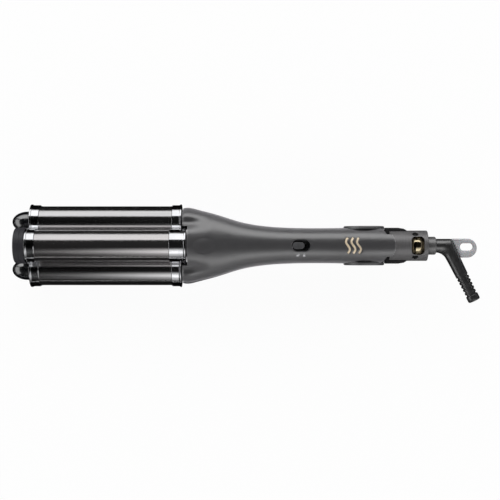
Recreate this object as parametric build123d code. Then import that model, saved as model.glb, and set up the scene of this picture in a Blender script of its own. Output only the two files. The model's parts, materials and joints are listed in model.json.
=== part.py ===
from build123d import *
import math
import os

# Three-barrel hair waver, closed and lying on its lower jaw, in millimetres.
# X runs along the waver with zero at the jaw hinge and the cord end positive, Y runs across the
# barrels, and Z runs up from the surface that the waver lies on.

# Driving dimensions ------------------------------------------------------------------------------

# Fits between pieces
slip_fit = 0.02                 # radial, round pieces that stay put
running_fit = 0.05              # radial, pieces that turn or slide
body_gap = 0.3                  # between faces of bodies that pass each other
plate_fit = 0.2                 # round the edge of a plate in its cover

# Barrels and what closes them
barrel_radius = 12.5
barrel_wall = 1.4
barrel_length = 105.0           # bare length of a lower barrel between its caps
barrel_seat = 3.0               # depth of a tube in its cap
barrel_pitch = 38.0             # across, between the two lower barrels
barrel_rise = 21.0              # upper barrel above the lower ones
cap_radius = 14.0               # over the lip, and what the front end lies on
cap_lip_height = 0.6
cap_lip_width = 1.3
cap_length = 7.6
collar_length = 12.8            # rear cap of the upper barrel
tip_spigot_radius = 6.0
tip_radius = 8.3                # bullet-shaped cool tips of the lower barrels
tip_length = 15.3
tip_straight = 3.0
disc_tip_radius = 14.1          # disc-shaped cool tip of the upper barrel
disc_tip_length = 9.7
disc_tip_bulge = 1.2
neck_radius = 8.2               # insulating neck in the gap behind a cap
neck_gap = 1.7
shank_radius = 6.2              # the neck's shank in the arm
shank_length = 5.0              # of the shank behind the front wall
lead_bore_radius = 2.6

# Heaters
heater_width = 9.0
heater_thickness = 3.0
heater_length = 88.0
spreader_fit = 0.1

# Arms
arm_length = 142.7              # hinge axis to the front edge
arm_gap = 4.0                   # between the inner faces of the closed arms
arm_wall = 2.0
flare_length = 60.7
flare_half_width = 29.4
flare_height = 22.0             # inner face to crest
waist_half_width = 13.8
waist_height = 17.0
hinge_half_width = 14.4
hinge_height = 19.4
tail_height = 20.4
middle_setback = 4.0            # middle of the front edge behind its sides
middle_half_width = 15.5
upper_flare_power = 1.7         # superelliptic section at the front, sloping shoulders
lower_flare_power = 3.5         # squarer, to hold the lower barrels' necks
arch_power = 2.4                # section of the handle
tail_reach = 22.7               # hinge axis to the rounded tail
tail_radius = 16.0
plate_thickness = 2.0
collar_gap = 1.3                # upper collar to the middle of the arm's front edge

# Thumb dish in the crest of the upper arm
dish_centre = 17.2              # behind the arm's front edge
dish_depth = 1.1
dish_bend_along = 36.0          # radii of the dish's floor
dish_bend_across = 32.0

# Jaw hinge
jaw_opening = 16.0              # degrees
pin_radius = 3.0
ring_radius = 6.0               # eyes of the upper arm round the pin
ring_thickness = 2.0
bush_wall = 1.2
knuckle_radius = 8.0
pocket_depth = 1.5              # of the round pockets in the arms' sides
disc_radius = 16.0              # round side covers
disc_thickness = 2.2
disc_edge = 0.8
disc_spigot_radius = 1.6
disc_spigot_length = 4.0
lug_thickness = 5.6
spring_wire_radius = 0.7
spring_radius = 4.6
spring_turns = 3
spring_half_length = 3.6
spring_leg_angle = 18.5
spring_leg_length = 13.5

# Rear hub and cord swivel
hub_front = 16.5                # hinge axis to the hub's round bulkhead
bulkhead_thickness = 3.0
cradle_radius = 14.2
cradle_straight = 10.5          # of the cradle before it tapers
cradle_taper = 6.4
cradle_top = 4.0                # cradle's edges over the hinge axis
pedestal_length = 10.0
pedestal_half_width = 7.0
web_half_width = 8.6
pedestal_floor = 8.0
swivel_collar_radius = 12.0
swivel_collar_length = 30.2
swivel_bore_radius = 8.95
swivel_lip = 2.5
ball_centre = 22.0              # from the collar's front face
window_length = 10.1
window_half_width = 7.2
window_corner = 3.5
side_hole_angle = 50.0
side_hole_from_front = 20.1
side_hole_radius = 2.3
side_hole_depth = 1.5
collar_screw_radius = 1.1
swivel_neck_radius = 7.1
swivel_neck_length = 7.0
swivel_neck_round = 1.2
shaft_radius = 4.0
shaft_start = 3.0               # behind the bulkhead
shaft_bore_radius = 2.0
slip_ring_thickness = 1.0
slip_ring_width = 2.0
slip_ring_pitch = 4.0
slip_ring_count = 2
contact_width = 3.0

# Strain relief with its hanging loop
boot_radius = 5.45
boot_end_radius = 4.5
boot_straight = 9.1
boot_tilt = 63.4                # degrees from X towards -Y
boot_length = 48.5              # from the bend to the end
boot_root = 4.0                 # bend to the start of the taper, past the mitre
boot_spigot_radius = 3.2
boot_spigot_length = 4.0
cord_radius = 3.2
cord_socket = 30.0
rib_count = 6
rib_pitch = 3.05
rib_groove = 1.3
rib_depth = 0.7
bead_radius = 4.9
bead_length = 5.2
loop_thickness = 5.0
loop_reach = 23.3               # bend to the loop's far end
loop_half_width = 7.5
loop_centre_drop = 1.9
eye_length = 10.5
eye_width = 5.7
eye_from_end = 8.1

# Lock slider
lock_centre = 50.5              # ahead of the hinge axis
bezel_length = 14.3
bezel_width = 8.6
bezel_wall = 0.5
bezel_depth = 2.4
bezel_floor = 1.6
bezel_sink = 0.1
knob_length = 9.3
knob_width = 5.3
knob_proud = 0.3
knob_end_gap = 0.1
stem_length = 4.0
stem_width = 2.4
hook_head_height = 2.6
hook_shank = 2.5
hook_width = 3.0
hook_toe_height = 2.0
catch_thickness = 1.8
catch_length = 7.0
catch_width = 9.0
catch_lead = 0.6
detent_thickness = 0.4
detent_height = 2.2
detent_length = 12.0
detent_bump = 0.5

# Control board and buttons
board_thickness = 1.6
board_length = 50.0
board_half_width = 8.0
board_front = 113.0             # ahead of the hinge axis
board_depth = 7.0               # its face behind the lower arm's inner face
button_radius = 3.5
button_proud = 1.5
button_travel = 0.8
button_flange = 0.8
button_flange_height = 0.8
button_pitch = 11.5
button_first = 96.0             # ahead of the hinge axis
button_clearance = 0.15
switch_size = 5.0
switch_gap = 0.2
window_glass_length = 13.0
window_glass_width = 8.0
window_glass_front = 114.5
chip_height = 2.0
terminal_length = 6.0
terminal_height = 3.4
post_radius = 2.4
board_post_inset = 9.0

# Screws
screw_radius = 1.1
screw_head_radius = 2.1
screw_head_height = 1.0
screw_length = 7.5              # inner face to the end of a cover screw
cover_screw_places = ((17.5, 15.0), (84.5, 8.0), (122.5, 8.0))   # behind the front edge, across

# Emblem of three waves
emblem_centre = 10.0            # ahead of the hinge axis
emblem_length = 13.0
emblem_wave_width = 12.0
emblem_stroke = 1.5
emblem_rise = 1.5
emblem_proud = 0.1
emblem_depth = 0.5
emblem_curve = 17.5             # radius of the crest across the emblem

# Leads, fuse and foot
lead_radius = 0.9
lead_spacing = 3.2
fuse_radius = 1.8
fuse_length = 10.0
foot_radius = 7.0
foot_height = 3.5
foot_boss_wall = 2.0

# Derived places ----------------------------------------------------------------------------------

lower_z = cap_radius
upper_z = lower_z + barrel_rise
hinge_z = (lower_z + upper_z) / 2
side_y = barrel_pitch / 2
inner_z = hinge_z + arm_gap / 2
front_x = -arm_length
lower_cap_end = front_x - neck_gap
lower_cap_start = lower_cap_end - cap_length
bare_front = lower_cap_start - barrel_length
tip_base = bare_front - cap_length
middle_x = front_x + middle_setback
upper_cap_end = middle_x - collar_gap
upper_cap_start = upper_cap_end - collar_length
wall_x = middle_x + arm_wall
tail_x = tail_reach
open_turn = math.radians(jaw_opening)
open_clearance = swivel_collar_radius + body_gap + tail_reach * math.sin(open_turn)
tail_lip_z = hinge_z + open_clearance / math.cos(open_turn)
barrel_bore = barrel_radius - barrel_wall
pocket_y = hinge_half_width - pocket_depth
cheek_y = pocket_y - ring_thickness
hub_half_width = cheek_y - body_gap
disc_y = pocket_y + body_gap
collar_front = hub_front + bulkhead_thickness
collar_end = collar_front + swivel_collar_length
neck_end = collar_end + swivel_neck_length
bend_x = neck_end + boot_straight
lock_x = -lock_centre
top_z = inner_z + 2 * flare_height
section_steps = 20
arm_steps = 15
origin_y = 0.0


# Shapes ------------------------------------------------------------------------------------------

def block(x_range, y_range, z_range):
    """Box between two corners, each range given as (low, high)."""
    lows, highs = zip(x_range, y_range, z_range)
    size = [high - low for low, high in zip(lows, highs)]
    centre = [(high + low) / 2 for low, high in zip(lows, highs)]
    return Pos(*centre) * Box(*size)


def rod_x(radius, x_start, x_end, y, z):
    """Cylinder along X."""
    base = Plane(origin=(x_start, y, z), x_dir=(0, 1, 0), z_dir=(1, 0, 0))
    return extrude(base * Circle(radius), x_end - x_start)


def rod_y(radius, y_start, y_end, x, z):
    """Cylinder along Y."""
    base = Plane(origin=(x, y_start, z), x_dir=(1, 0, 0), z_dir=(0, 1, 0))
    return extrude(base * Circle(radius), y_end - y_start)


def rod_z(radius, z_start, z_end, x, y):
    """Cylinder along Z."""
    return extrude(Plane(origin=(x, y, z_start)) * Circle(radius), z_end - z_start)


def pill(length, width, z_start, z_end, x, y=origin_y):
    """Upright solid with a stadium plan, long along X."""
    plan = SlotOverall(length, width)
    return extrude(Plane(origin=(x, y, z_start)) * plan, z_end - z_start)


def turned(corners, y, z):
    """Solid turned about an axis along X, from (x, radius) corners."""
    profile = Polyline(*[(x, 0, radius) for x, radius in corners], close=True)
    return Pos(0, y, z) * revolve(make_face(profile), Axis.X)


def both_sides(shape):
    """The shape and its mirror image across the waver's middle."""
    return shape + mirror(shape, about=Plane.XZ)


def to_lower(shape):
    """Mirror a piece of the upper arm down into the lower arm."""
    return mirror(shape, about=Plane.XY.offset(hinge_z))


def group(shapes):
    """Several separate solids kept in one node."""
    solids = []
    for shape in shapes:
        solids.extend(shape.solids())
    return Compound(children=solids)


# Arm surface -------------------------------------------------------------------------------------

# Along the flare: share of its length, and share of the widening that is left there.
flare_shape = ((0.0, 1.0), (0.14, 0.975), (0.31, 0.82), (0.51, 0.595), (0.74, 0.32), (1.0, 0.128))
height_fall = 0.72
waist_places = ((0.27, 0.02), (0.64, 0.0))      # share of the way to the hinge, widening left


def arm_knots():
    """Places along the arm that set its form: x, half width and height."""
    knots = []
    spread = flare_half_width - waist_half_width
    fall = flare_height - waist_height
    for along, widening in flare_shape:
        half_width = waist_half_width + spread * widening
        height = waist_height + fall * (1.0 - height_fall * along)
        knots.append((front_x + flare_length * along, half_width, height))
    waist_start = front_x + flare_length
    for along, widening in waist_places:
        half_width = waist_half_width + spread * widening
        height = waist_height + fall * (1.0 - height_fall) * (1.0 - along) ** 2
        knots.append((waist_start * (1.0 - along), half_width, height))
    knots.append((0.0, hinge_half_width, hinge_height))
    knots.append((tail_x, hinge_half_width, tail_height))
    return knots


def knot_slope(knots, index, column):
    """Slope of a form at a knot, from its neighbours."""
    before = knots[max(index - 1, 0)]
    after = knots[min(index + 1, len(knots) - 1)]
    return (after[column] - before[column]) / (after[0] - before[0])


def form_at(x, column):
    """Smooth value of one column of the knots at x."""
    knots = arm_knots()
    index = 0
    while index < len(knots) - 2 and x > knots[index + 1][0]:
        index += 1
    low = knots[index]
    high = knots[index + 1]
    span = high[0] - low[0]
    share = (x - low[0]) / span
    rise = high[column] - low[column]
    start = span * knot_slope(knots, index, column)
    end = span * knot_slope(knots, index + 1, column)
    bend = (start - 2 * rise + end) * share ** 3 + (3 * rise - 2 * start - end) * share ** 2
    return low[column] + bend + start * share


def arm_stations():
    """Evenly spaced cross-sections: x, half width, height and share of the front's shape."""
    stations = []
    for step in range(arm_steps + 1):
        x = front_x + (tail_x - front_x) * step / arm_steps
        front_share = max(0.0, 1.0 - (x - front_x) / flare_length) ** 2
        stations.append((x, form_at(x, 1), form_at(x, 2), front_share))
    return stations


def arm_section(station, inset, flare_power):
    """Face across an arm, flat on the inner face and a superelliptic arch above it."""
    x, half_width, height, front_share = station
    power = arch_power + (flare_power - arch_power) * front_share
    points = []
    for step in range(section_steps + 1):
        reach = math.cos(math.pi * step / section_steps)
        rise = (1.0 - abs(reach) ** power) ** (1.0 / power)
        points.append((x, (half_width - inset) * reach, inner_z + (height - inset) * rise))
    arch = Spline(*points, tangents=[(0, 0, 1), (0, 0, -1)])
    base = Line(points[-1], points[0])
    return Face(Wire([arch, base]))


def arm_solid(inset, flare_power):
    """Solid body of an arm, crest up, moved inwards by inset on its arched side."""
    return loft([arm_section(station, inset, flare_power) for station in arm_stations()])


def crest_z(x):
    """Height of the upper arm's crest at x."""
    return inner_z + form_at(x, 2)


def tail_shape(inset):
    """Upright prism that rounds the arm's tail."""
    centre = tail_x - tail_radius
    front = block((front_x - arm_wall, centre), (-2 * flare_half_width, 2 * flare_half_width), (0, top_z))
    return front + rod_z(tail_radius - inset, 0, top_z, centre, origin_y)


def arm_hollow(flare_power):
    """Inside of a cover, narrowed between the cheeks at the hinge."""
    cheek_x = -disc_radius - arm_wall
    ahead = block((wall_x, cheek_x), (-flare_half_width, flare_half_width), (0, top_z))
    between = block((cheek_x, tail_x), (-cheek_y, cheek_y), (0, top_z))
    return arm_solid(arm_wall, flare_power) & (ahead + between) & tail_shape(arm_wall)


def screw_places():
    """Centres of the cover screws, both sides of each station."""
    places = []
    for behind, across in cover_screw_places:
        places.append((front_x + behind, across))
        places.append((front_x + behind, -across))
    return places


def arm_shell(flare_power, cut_away=None):
    """Hollow arm, open on its inner side; what is cut away goes first."""
    body = arm_solid(0.0, flare_power) & tail_shape(0.0)
    if cut_away is not None:
        body -= cut_away
    return body - arm_hollow(flare_power)


def fitted_cover(shell, inner_skin):
    """Shell with its set-back front, round hinge pockets and screw posts."""
    gap = block((front_x - arm_wall, middle_x), (-middle_half_width, middle_half_width), (0, top_z))
    pocket = rod_y(disc_radius + body_gap, pocket_y, flare_half_width, 0.0, hinge_z)
    cover = shell - gap - both_sides(pocket)
    for x, y in screw_places():
        post = rod_z(post_radius, inner_z + plate_thickness, top_z, x, y) & inner_skin
        cover += post - rod_z(screw_radius + slip_fit, 0, inner_z + screw_length + body_gap, x, y)
    return cover


def inner_plate(flare_power):
    """Flat plate that closes an arm on its inner side, with its screw holes."""
    end_x = -knuckle_radius - plate_thickness - 2.0 * body_gap
    cheek_x = -disc_radius - arm_wall - plate_fit
    slab = (inner_z, inner_z + plate_thickness)
    wide = block((wall_x + plate_fit, cheek_x), (-flare_half_width, flare_half_width), slab)
    tongue = block((cheek_x, end_x), (plate_fit - cheek_y, cheek_y - plate_fit), slab)
    plate = arm_solid(arm_wall + plate_fit, flare_power) & (wide + tongue)
    for x, y in screw_places():
        plate -= rod_z(screw_radius + running_fit, 0, top_z, x, y)
        plate -= rod_z(screw_head_radius + running_fit, 0, inner_z + screw_head_height, x, y)
    return plate


def cover_screws():
    """Screws that hold an inner plate to its cover."""
    screws = []
    for x, y in screw_places():
        head = rod_z(screw_head_radius, inner_z, inner_z + screw_head_height, x, y)
        shaft = rod_z(screw_radius, inner_z + screw_head_height, inner_z + screw_length, x, y)
        screws.append(head + shaft)
    return group(screws)


# Barrels -----------------------------------------------------------------------------------------

def barrel(y, z, cap_start):
    tube = rod_x(barrel_radius, bare_front - barrel_seat, cap_start + barrel_seat, y, z)
    return tube - rod_x(barrel_bore, bare_front - barrel_seat, cap_start + barrel_seat, y, z)


def front_cap(y, z):
    body = cap_radius - cap_lip_height
    seat = barrel_radius + slip_fit
    corners = (
        (tip_base, tip_spigot_radius + slip_fit), (tip_base, cap_radius),
        (tip_base + cap_lip_width, cap_radius), (tip_base + cap_lip_width, body),
        (bare_front, body), (bare_front, seat), (bare_front - barrel_seat, seat),
        (bare_front - barrel_seat, tip_spigot_radius + slip_fit),
    )
    return turned(corners, y, z)


def rear_cap(y, z, start, end):
    body = cap_radius - cap_lip_height
    seat = barrel_radius + slip_fit
    corners = (
        (end, neck_radius + slip_fit), (end, cap_radius),
        (end - cap_lip_width, cap_radius), (end - cap_lip_width, body),
        (start, body), (start, seat), (start + barrel_seat, seat),
        (start + barrel_seat, neck_radius + slip_fit),
    )
    return turned(corners, y, z)


def tip_spigot(y, z):
    return rod_x(tip_spigot_radius, tip_base, bare_front - barrel_seat, y, z)


def bullet_tip(y, z):
    """Cool tip of a lower barrel: a short cylinder with an elliptical nose."""
    nose_x = tip_base - tip_straight
    nose = EllipticalCenterArc((nose_x, 0), tip_length - tip_straight, tip_radius, 90, arc_size=90)
    outline = [
        nose,
        Line(nose @ 1, (tip_base, 0)),
        Line((tip_base, 0), (tip_base, tip_radius)),
        Line((tip_base, tip_radius), nose @ 0),
    ]
    profile = Plane.XZ * make_face(outline)
    return Pos(0, y, z) * revolve(profile, Axis.X) + tip_spigot(y, z)


def disc_tip(y, z):
    """Cool tip of the upper barrel: a thick disc with a slightly domed face."""
    face_x = tip_base - body_gap
    rim_x = face_x - disc_tip_length + disc_tip_bulge
    dome_x = face_x - disc_tip_length
    shoulder = disc_tip_radius * math.sqrt(0.5)
    dome = ThreePointArc((dome_x, 0), (dome_x + disc_tip_bulge / 2, shoulder), (rim_x, disc_tip_radius))
    outline = [
        dome,
        Line((rim_x, disc_tip_radius), (face_x, disc_tip_radius)),
        Line((face_x, disc_tip_radius), (face_x, 0)),
        Line((face_x, 0), (dome_x, 0)),
    ]
    profile = Plane.XZ * make_face(outline)
    disc = Pos(0, y, z) * revolve(profile, Axis.X)
    return disc + rod_x(tip_spigot_radius, face_x, bare_front - barrel_seat, y, z)


def barrel_neck(y, z, cap_start, arm_face):
    """Insulating mount: plug in the barrel, neck in the gap, shank in the arm's front wall."""
    tube_end = cap_start + barrel_seat
    plug = rod_x(barrel_bore - slip_fit, cap_start - barrel_seat, tube_end, y, z)
    neck = rod_x(neck_radius, tube_end, arm_face, y, z)
    shank = rod_x(shank_radius, arm_face, wall_x + shank_length, y, z)
    bore = rod_x(lead_bore_radius, cap_start - 2 * barrel_seat, wall_x + 2 * shank_length, y, z)
    return plug + neck + shank - bore


def heater_end(cap_start):
    return cap_start - barrel_seat


def heater(y, z, cap_start):
    end = heater_end(cap_start)
    half_width = heater_width / 2
    half_height = heater_thickness / 2
    return block((end - heater_length, end), (y - half_width, y + half_width),
                 (z - half_height, z + half_height))


def heat_spreaders(y, z, cap_start):
    """Two half-round bars that press the heater against the barrel's bore."""
    end = heater_end(cap_start)
    start = end - heater_length
    bar = rod_x(barrel_bore - spreader_fit, start, end, y, z)
    slot = block((start, end), (y - barrel_bore, y + barrel_bore),
                 (z - heater_thickness / 2, z + heater_thickness / 2))
    return bar - slot


# Covers and plates -------------------------------------------------------------------------------

def tail_undercut():
    """Room under the upper arm's tail that lets it drop past hub and collar as the jaw opens."""
    low = hinge_z - tail_radius
    corners = (
        (ring_radius + body_gap, low), (ring_radius + body_gap, hinge_z),
        (hub_front - body_gap, tail_lip_z), (2 * tail_x, tail_lip_z), (2 * tail_x, low),
    )
    profile = Polyline(*[(x, 0, z) for x, z in corners], close=True)
    return extrude(make_face(profile), flare_half_width, both=True)


def thumb_dish():
    """Round body that leaves a shallow oval dish in the crest."""
    centre_x = front_x + dish_centre
    fall = crest_z(centre_x - arm_wall) - crest_z(centre_x + arm_wall)
    slope = math.degrees(math.atan2(fall, 2 * arm_wall))
    half = dish_bend_across / 2
    sag = dish_bend_along - math.sqrt(dish_bend_along ** 2 - half ** 2)
    arc = ThreePointArc((-half, sag), (0, 0), (half, sag))
    lid = Polyline(arc @ 1, (half, dish_bend_across), (-half, dish_bend_across), arc @ 0)
    bowl = revolve(Plane.XZ * make_face([arc, lid]), Axis((0, 0, dish_bend_across), (1, 0, 0)))
    place = Pos(centre_x, 0, crest_z(centre_x) - dish_depth) * Rot(0, slope, 0)
    return place * bowl


def wave_line(x):
    """One wave of the emblem, across the arm, as a flat ribbon."""
    half = emblem_wave_width / 2
    knots = []
    for step in range(9):
        share = step / 8
        bend = emblem_rise * math.sin(2 * math.pi * share)
        knots.append((x + bend, -half + emblem_wave_width * share))
    return trace(Spline(*knots), emblem_stroke)


def emblem_prisms():
    """Upright prisms of the three waves, reaching through the crest."""
    spacing = (emblem_length - emblem_stroke - 2 * emblem_rise) / 2
    waves = []
    for row in (-1, 0, 1):
        ribbon = wave_line(-emblem_centre + row * spacing)
        low = inner_z + hinge_height / 2
        waves.append(extrude(Pos(0, 0, low) * ribbon, top_z - low))
    return waves


def emblem_surface(offset):
    """Long round bar whose top follows the crest under the emblem."""
    radius = emblem_curve + offset
    axis_z = crest_z(-emblem_centre) - emblem_curve
    return rod_x(radius, -emblem_centre - emblem_length, -emblem_centre + emblem_length, origin_y, axis_z)


def emblem():
    """Metal inlay of three waves in the crest over the hinge."""
    sheet = emblem_surface(emblem_proud) - emblem_surface(-emblem_depth)
    return group([wave & sheet for wave in emblem_prisms()])


def bezel_top():
    return crest_z(lock_x) - bezel_sink


def knob_travel():
    """Travel of the lock slider in its recess."""
    return bezel_length - 2 * bezel_wall - knob_length - 2 * knob_end_gap


def knob_x():
    """Middle of the knob at rest, at the front end of its recess."""
    return lock_x - knob_travel() / 2


def upper_cover():
    """Upper cover with its two hinge eyes, lock opening, thumb dish and emblem recess."""
    shell = arm_shell(upper_flare_power, tail_undercut())
    cover = fitted_cover(shell, arm_solid(arm_wall / 2, upper_flare_power))
    eye = rod_y(ring_radius, cheek_y - slip_fit, pocket_y + slip_fit, 0.0, hinge_z)
    cover += eye
    cover += mirror(eye, about=Plane.XZ)
    bush_seat = pin_radius + running_fit + bush_wall + slip_fit
    cover -= rod_y(bush_seat, -flare_half_width, flare_half_width, 0.0, hinge_z)
    cover -= rod_x(shank_radius + slip_fit, front_x - arm_wall, wall_x + arm_wall, origin_y, upper_z)
    cover -= pill(bezel_length + 2 * slip_fit, bezel_width + 2 * slip_fit, inner_z + plate_thickness,
                  top_z, lock_x)
    cover -= thumb_dish()
    for wave in emblem_prisms():
        cover -= wave - emblem_surface(-emblem_depth)
    return cover


def hook_slot():
    """Slot in both inner plates that the latch hook reaches through."""
    low = knob_x() - stem_length / 2 - 2 * body_gap
    high = knob_x() - stem_length / 2 + hook_shank + knob_travel() + 2 * body_gap
    return block((low, high), (-hook_width / 2 - 2 * body_gap, hook_width / 2 + 2 * body_gap), (0, top_z))


def lower_cover():
    """Lower cover with the seats of the hub, the foot, the board and the two barrel necks."""
    cradle = rod_x(cradle_radius + slip_fit, hub_front - body_gap, 2 * tail_x, origin_y, hinge_z)
    eyes = rod_y(ring_radius + body_gap, -hinge_half_width, hinge_half_width, 0.0, hinge_z)
    inner_skin = arm_solid(arm_wall / 2, lower_flare_power)
    cover = fitted_cover(arm_shell(lower_flare_power), inner_skin) - cradle - eyes
    boss_half = foot_radius + foot_boss_wall
    boss = block((-boss_half, hub_front - 2.0 * body_gap), (-boss_half, boss_half),
                 (2 * hinge_z - pedestal_floor, top_z))
    cover += boss & inner_skin
    for x, y in board_post_places():
        floor = 2 * hinge_z - board_back_z()
        cover += rod_z(post_radius, floor, top_z, x, y) & inner_skin
    cover = to_lower(cover)
    for side in (-1, 1):
        y = side * side_y
        cover -= rod_x(shank_radius + slip_fit, front_x - arm_wall, wall_x + arm_wall, y, lower_z)
    cover -= rod_z(foot_radius + slip_fit, -foot_height, foot_height, 0.0, origin_y)
    for x, y in hub_screw_places():
        cover -= rod_z(screw_radius + running_fit, 0, pedestal_floor, x, y)
        cover -= rod_z(screw_head_radius + running_fit, 0, foot_height + screw_head_height, x, y)
    for x, y in board_post_places():
        cover -= rod_z(screw_radius + slip_fit, board_back_z() - arm_wall - body_gap, board_back_z(), x, y)
    return cover


def upper_inner_plate():
    return inner_plate(upper_flare_power) - hook_slot()


def button_places():
    return [-(button_first - row * button_pitch) for row in range(3)]


def window_x():
    return -window_glass_front + window_glass_length / 2


def lower_inner_plate():
    plate = to_lower(inner_plate(lower_flare_power)) - hook_slot()
    for x in button_places():
        plate -= rod_z(button_radius + button_clearance, 0, top_z, x, origin_y)
    face_z = hinge_z - arm_gap / 2
    half_width = window_glass_width / 2 + slip_fit
    x = window_x()
    half_length = window_glass_length / 2 + slip_fit
    plate -= block((x - half_length, x + half_length), (-half_width, half_width),
                   (face_z - plate_thickness, face_z))
    return plate


# Lock --------------------------------------------------------------------------------------------

def lock_bezel():
    """Oval recess for the lock slider, with a slot in its floor for the stem."""
    top = bezel_top()
    floor = top - bezel_depth
    bezel = pill(bezel_length, bezel_width, floor - bezel_floor, top, lock_x)
    bezel -= pill(bezel_length - 2 * bezel_wall, bezel_width - 2 * bezel_wall, floor, top, lock_x)
    slot_length = stem_length + knob_travel() + 2 * knob_end_gap
    slot_half = stem_width / 2 + running_fit
    bezel -= block((lock_x - slot_length / 2, lock_x + slot_length / 2), (-slot_half, slot_half),
                   (floor - bezel_floor, floor))
    return bezel


def lock_knob():
    floor = bezel_top() - bezel_depth
    x = knob_x()
    knob = pill(knob_length, knob_width, floor + running_fit, bezel_top() + knob_proud, x)
    half = stem_length / 2
    stem = block((x - half, x + half), (-stem_width / 2, stem_width / 2),
                 (floor - bezel_floor - running_fit, floor + bezel_depth / 2))
    return knob + stem


def hook_toe_end():
    return hook_shank_end() + knob_travel() - knob_end_gap


def hook_shank_end():
    return knob_x() - stem_length / 2 + hook_shank


def catch_front():
    return hook_toe_end() + catch_lead


def lower_plate_back():
    return hinge_z - arm_gap / 2 - plate_thickness


def latch_hook():
    """Steel hook under the knob, reaching down into the lower arm."""
    x = knob_x()
    top = bezel_top() - bezel_depth - bezel_floor - running_fit
    half = hook_width / 2
    front = x - stem_length / 2
    toe_top = lower_plate_back() - catch_thickness - 2 * running_fit
    head = block((front, x + stem_length / 2), (-half, half), (top - hook_head_height, top))
    shank = block((front, hook_shank_end()), (-half, half), (toe_top - hook_toe_height, top))
    toe = block((front, hook_toe_end()), (-half, half), (toe_top - hook_toe_height, toe_top))
    return head + shank + toe


def latch_catch():
    """Steel plate under the lower inner plate that the hook's toe slides under."""
    back = lower_plate_back()
    half = catch_width / 2
    return block((catch_front(), catch_front() + catch_length), (-half, half),
                 (back - catch_thickness, back))


def detent_spring():
    """Leaf under the bezel that holds the slider at either end of its travel."""
    top = bezel_top() - bezel_depth - bezel_floor
    y = hook_width / 2 + detent_bump + body_gap
    half = detent_length / 2
    bump = detent_length / 8
    path = Polyline((lock_x - half, y), (lock_x - bump, y), (lock_x, y - detent_bump),
                    (lock_x + bump, y), (lock_x + half, y))
    leaf = trace(path, detent_thickness)
    return extrude(Pos(0, 0, top - detent_height) * leaf, detent_height)


# Board, buttons and window -----------------------------------------------------------------------

def board_top_z():
    return hinge_z - arm_gap / 2 - board_depth


def board_back_z():
    return board_top_z() - board_thickness


def board_end():
    return -board_front + board_length


def board_post_places():
    places = []
    for x in (-board_front + board_post_inset, board_end() - board_post_inset):
        for side in (-1, 1):
            places.append((x, side * (board_half_width - post_radius)))
    return places


def control_board():
    board = block((-board_front, board_end()), (-board_half_width, board_half_width),
                  (board_back_z(), board_top_z()))
    for x, y in board_post_places():
        board -= rod_z(screw_radius + running_fit, 0, top_z, x, y)
    return board


def board_screws():
    screws = []
    for x, y in board_post_places():
        head = rod_z(screw_head_radius, board_top_z(), board_top_z() + screw_head_height, x, y)
        shaft = rod_z(screw_radius, board_back_z() - arm_wall, board_top_z(), x, y)
        screws.append(head + shaft)
    return group(screws)


def switch_height():
    """Height of a switch under a button, short of the button's travel."""
    flange_low = hinge_z - arm_gap / 2 - plate_thickness - button_flange_height
    return flange_low - button_travel - switch_gap - board_top_z()


def tact_switches():
    half = switch_size / 2
    switches = []
    for x in button_places():
        switches.append(block((x - half, x + half), (-half, half),
                              (board_top_z(), board_top_z() + switch_height())))
    return group(switches)


def button(x):
    """Round button with a flange that keeps it behind the lower inner plate."""
    face_z = hinge_z - arm_gap / 2
    flange_top = face_z - plate_thickness
    flange_low = flange_top - button_flange_height
    body = rod_z(button_radius, flange_low, face_z + button_proud, x, origin_y)
    flange = rod_z(button_radius + button_flange, flange_low, flange_top, x, origin_y)
    return fillet(body.faces().sort_by(Axis.Z)[-1].edges(), button_flange / 2) + flange


def display_window():
    face_z = hinge_z - arm_gap / 2
    x = window_x()
    half_length = window_glass_length / 2
    half_width = window_glass_width / 2
    return block((x - half_length, x + half_length), (-half_width, half_width),
                 (face_z - plate_thickness, face_z))


def board_parts():
    """Display module, controller, relay and terminal block on the board."""
    top = board_top_z()
    x = window_x()
    half = window_glass_width / 2
    display = block((x - half, x + half), (-half / 2, half / 2),
                    (top, lower_plate_back() - body_gap))
    terminal = block((board_end() - terminal_length, board_end()),
                     (-lead_spacing - 2 * lead_radius, lead_spacing + 2 * lead_radius),
                     (top, top + terminal_height))
    between = [(places + button_pitch / 2) for places in button_places()[:2]]
    chips = []
    for chip_x in between:
        chips.append(block((chip_x - chip_height, chip_x + chip_height),
                           (-2 * chip_height, 2 * chip_height), (top, top + chip_height)))
    return group([display, terminal] + chips)


# Hinge -------------------------------------------------------------------------------------------

def hub_screw_places():
    x = hub_front - pedestal_length / 2 - body_gap
    y = pedestal_half_width - screw_head_radius - 2 * body_gap
    return [(x, -y), (x, y)]


def hub_leads():
    """Places across the hub where the two supply leads pass."""
    z = hinge_z - knuckle_radius + lead_radius + 2 * slip_fit
    return [(-lead_spacing, z), (lead_spacing, z)]


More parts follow.
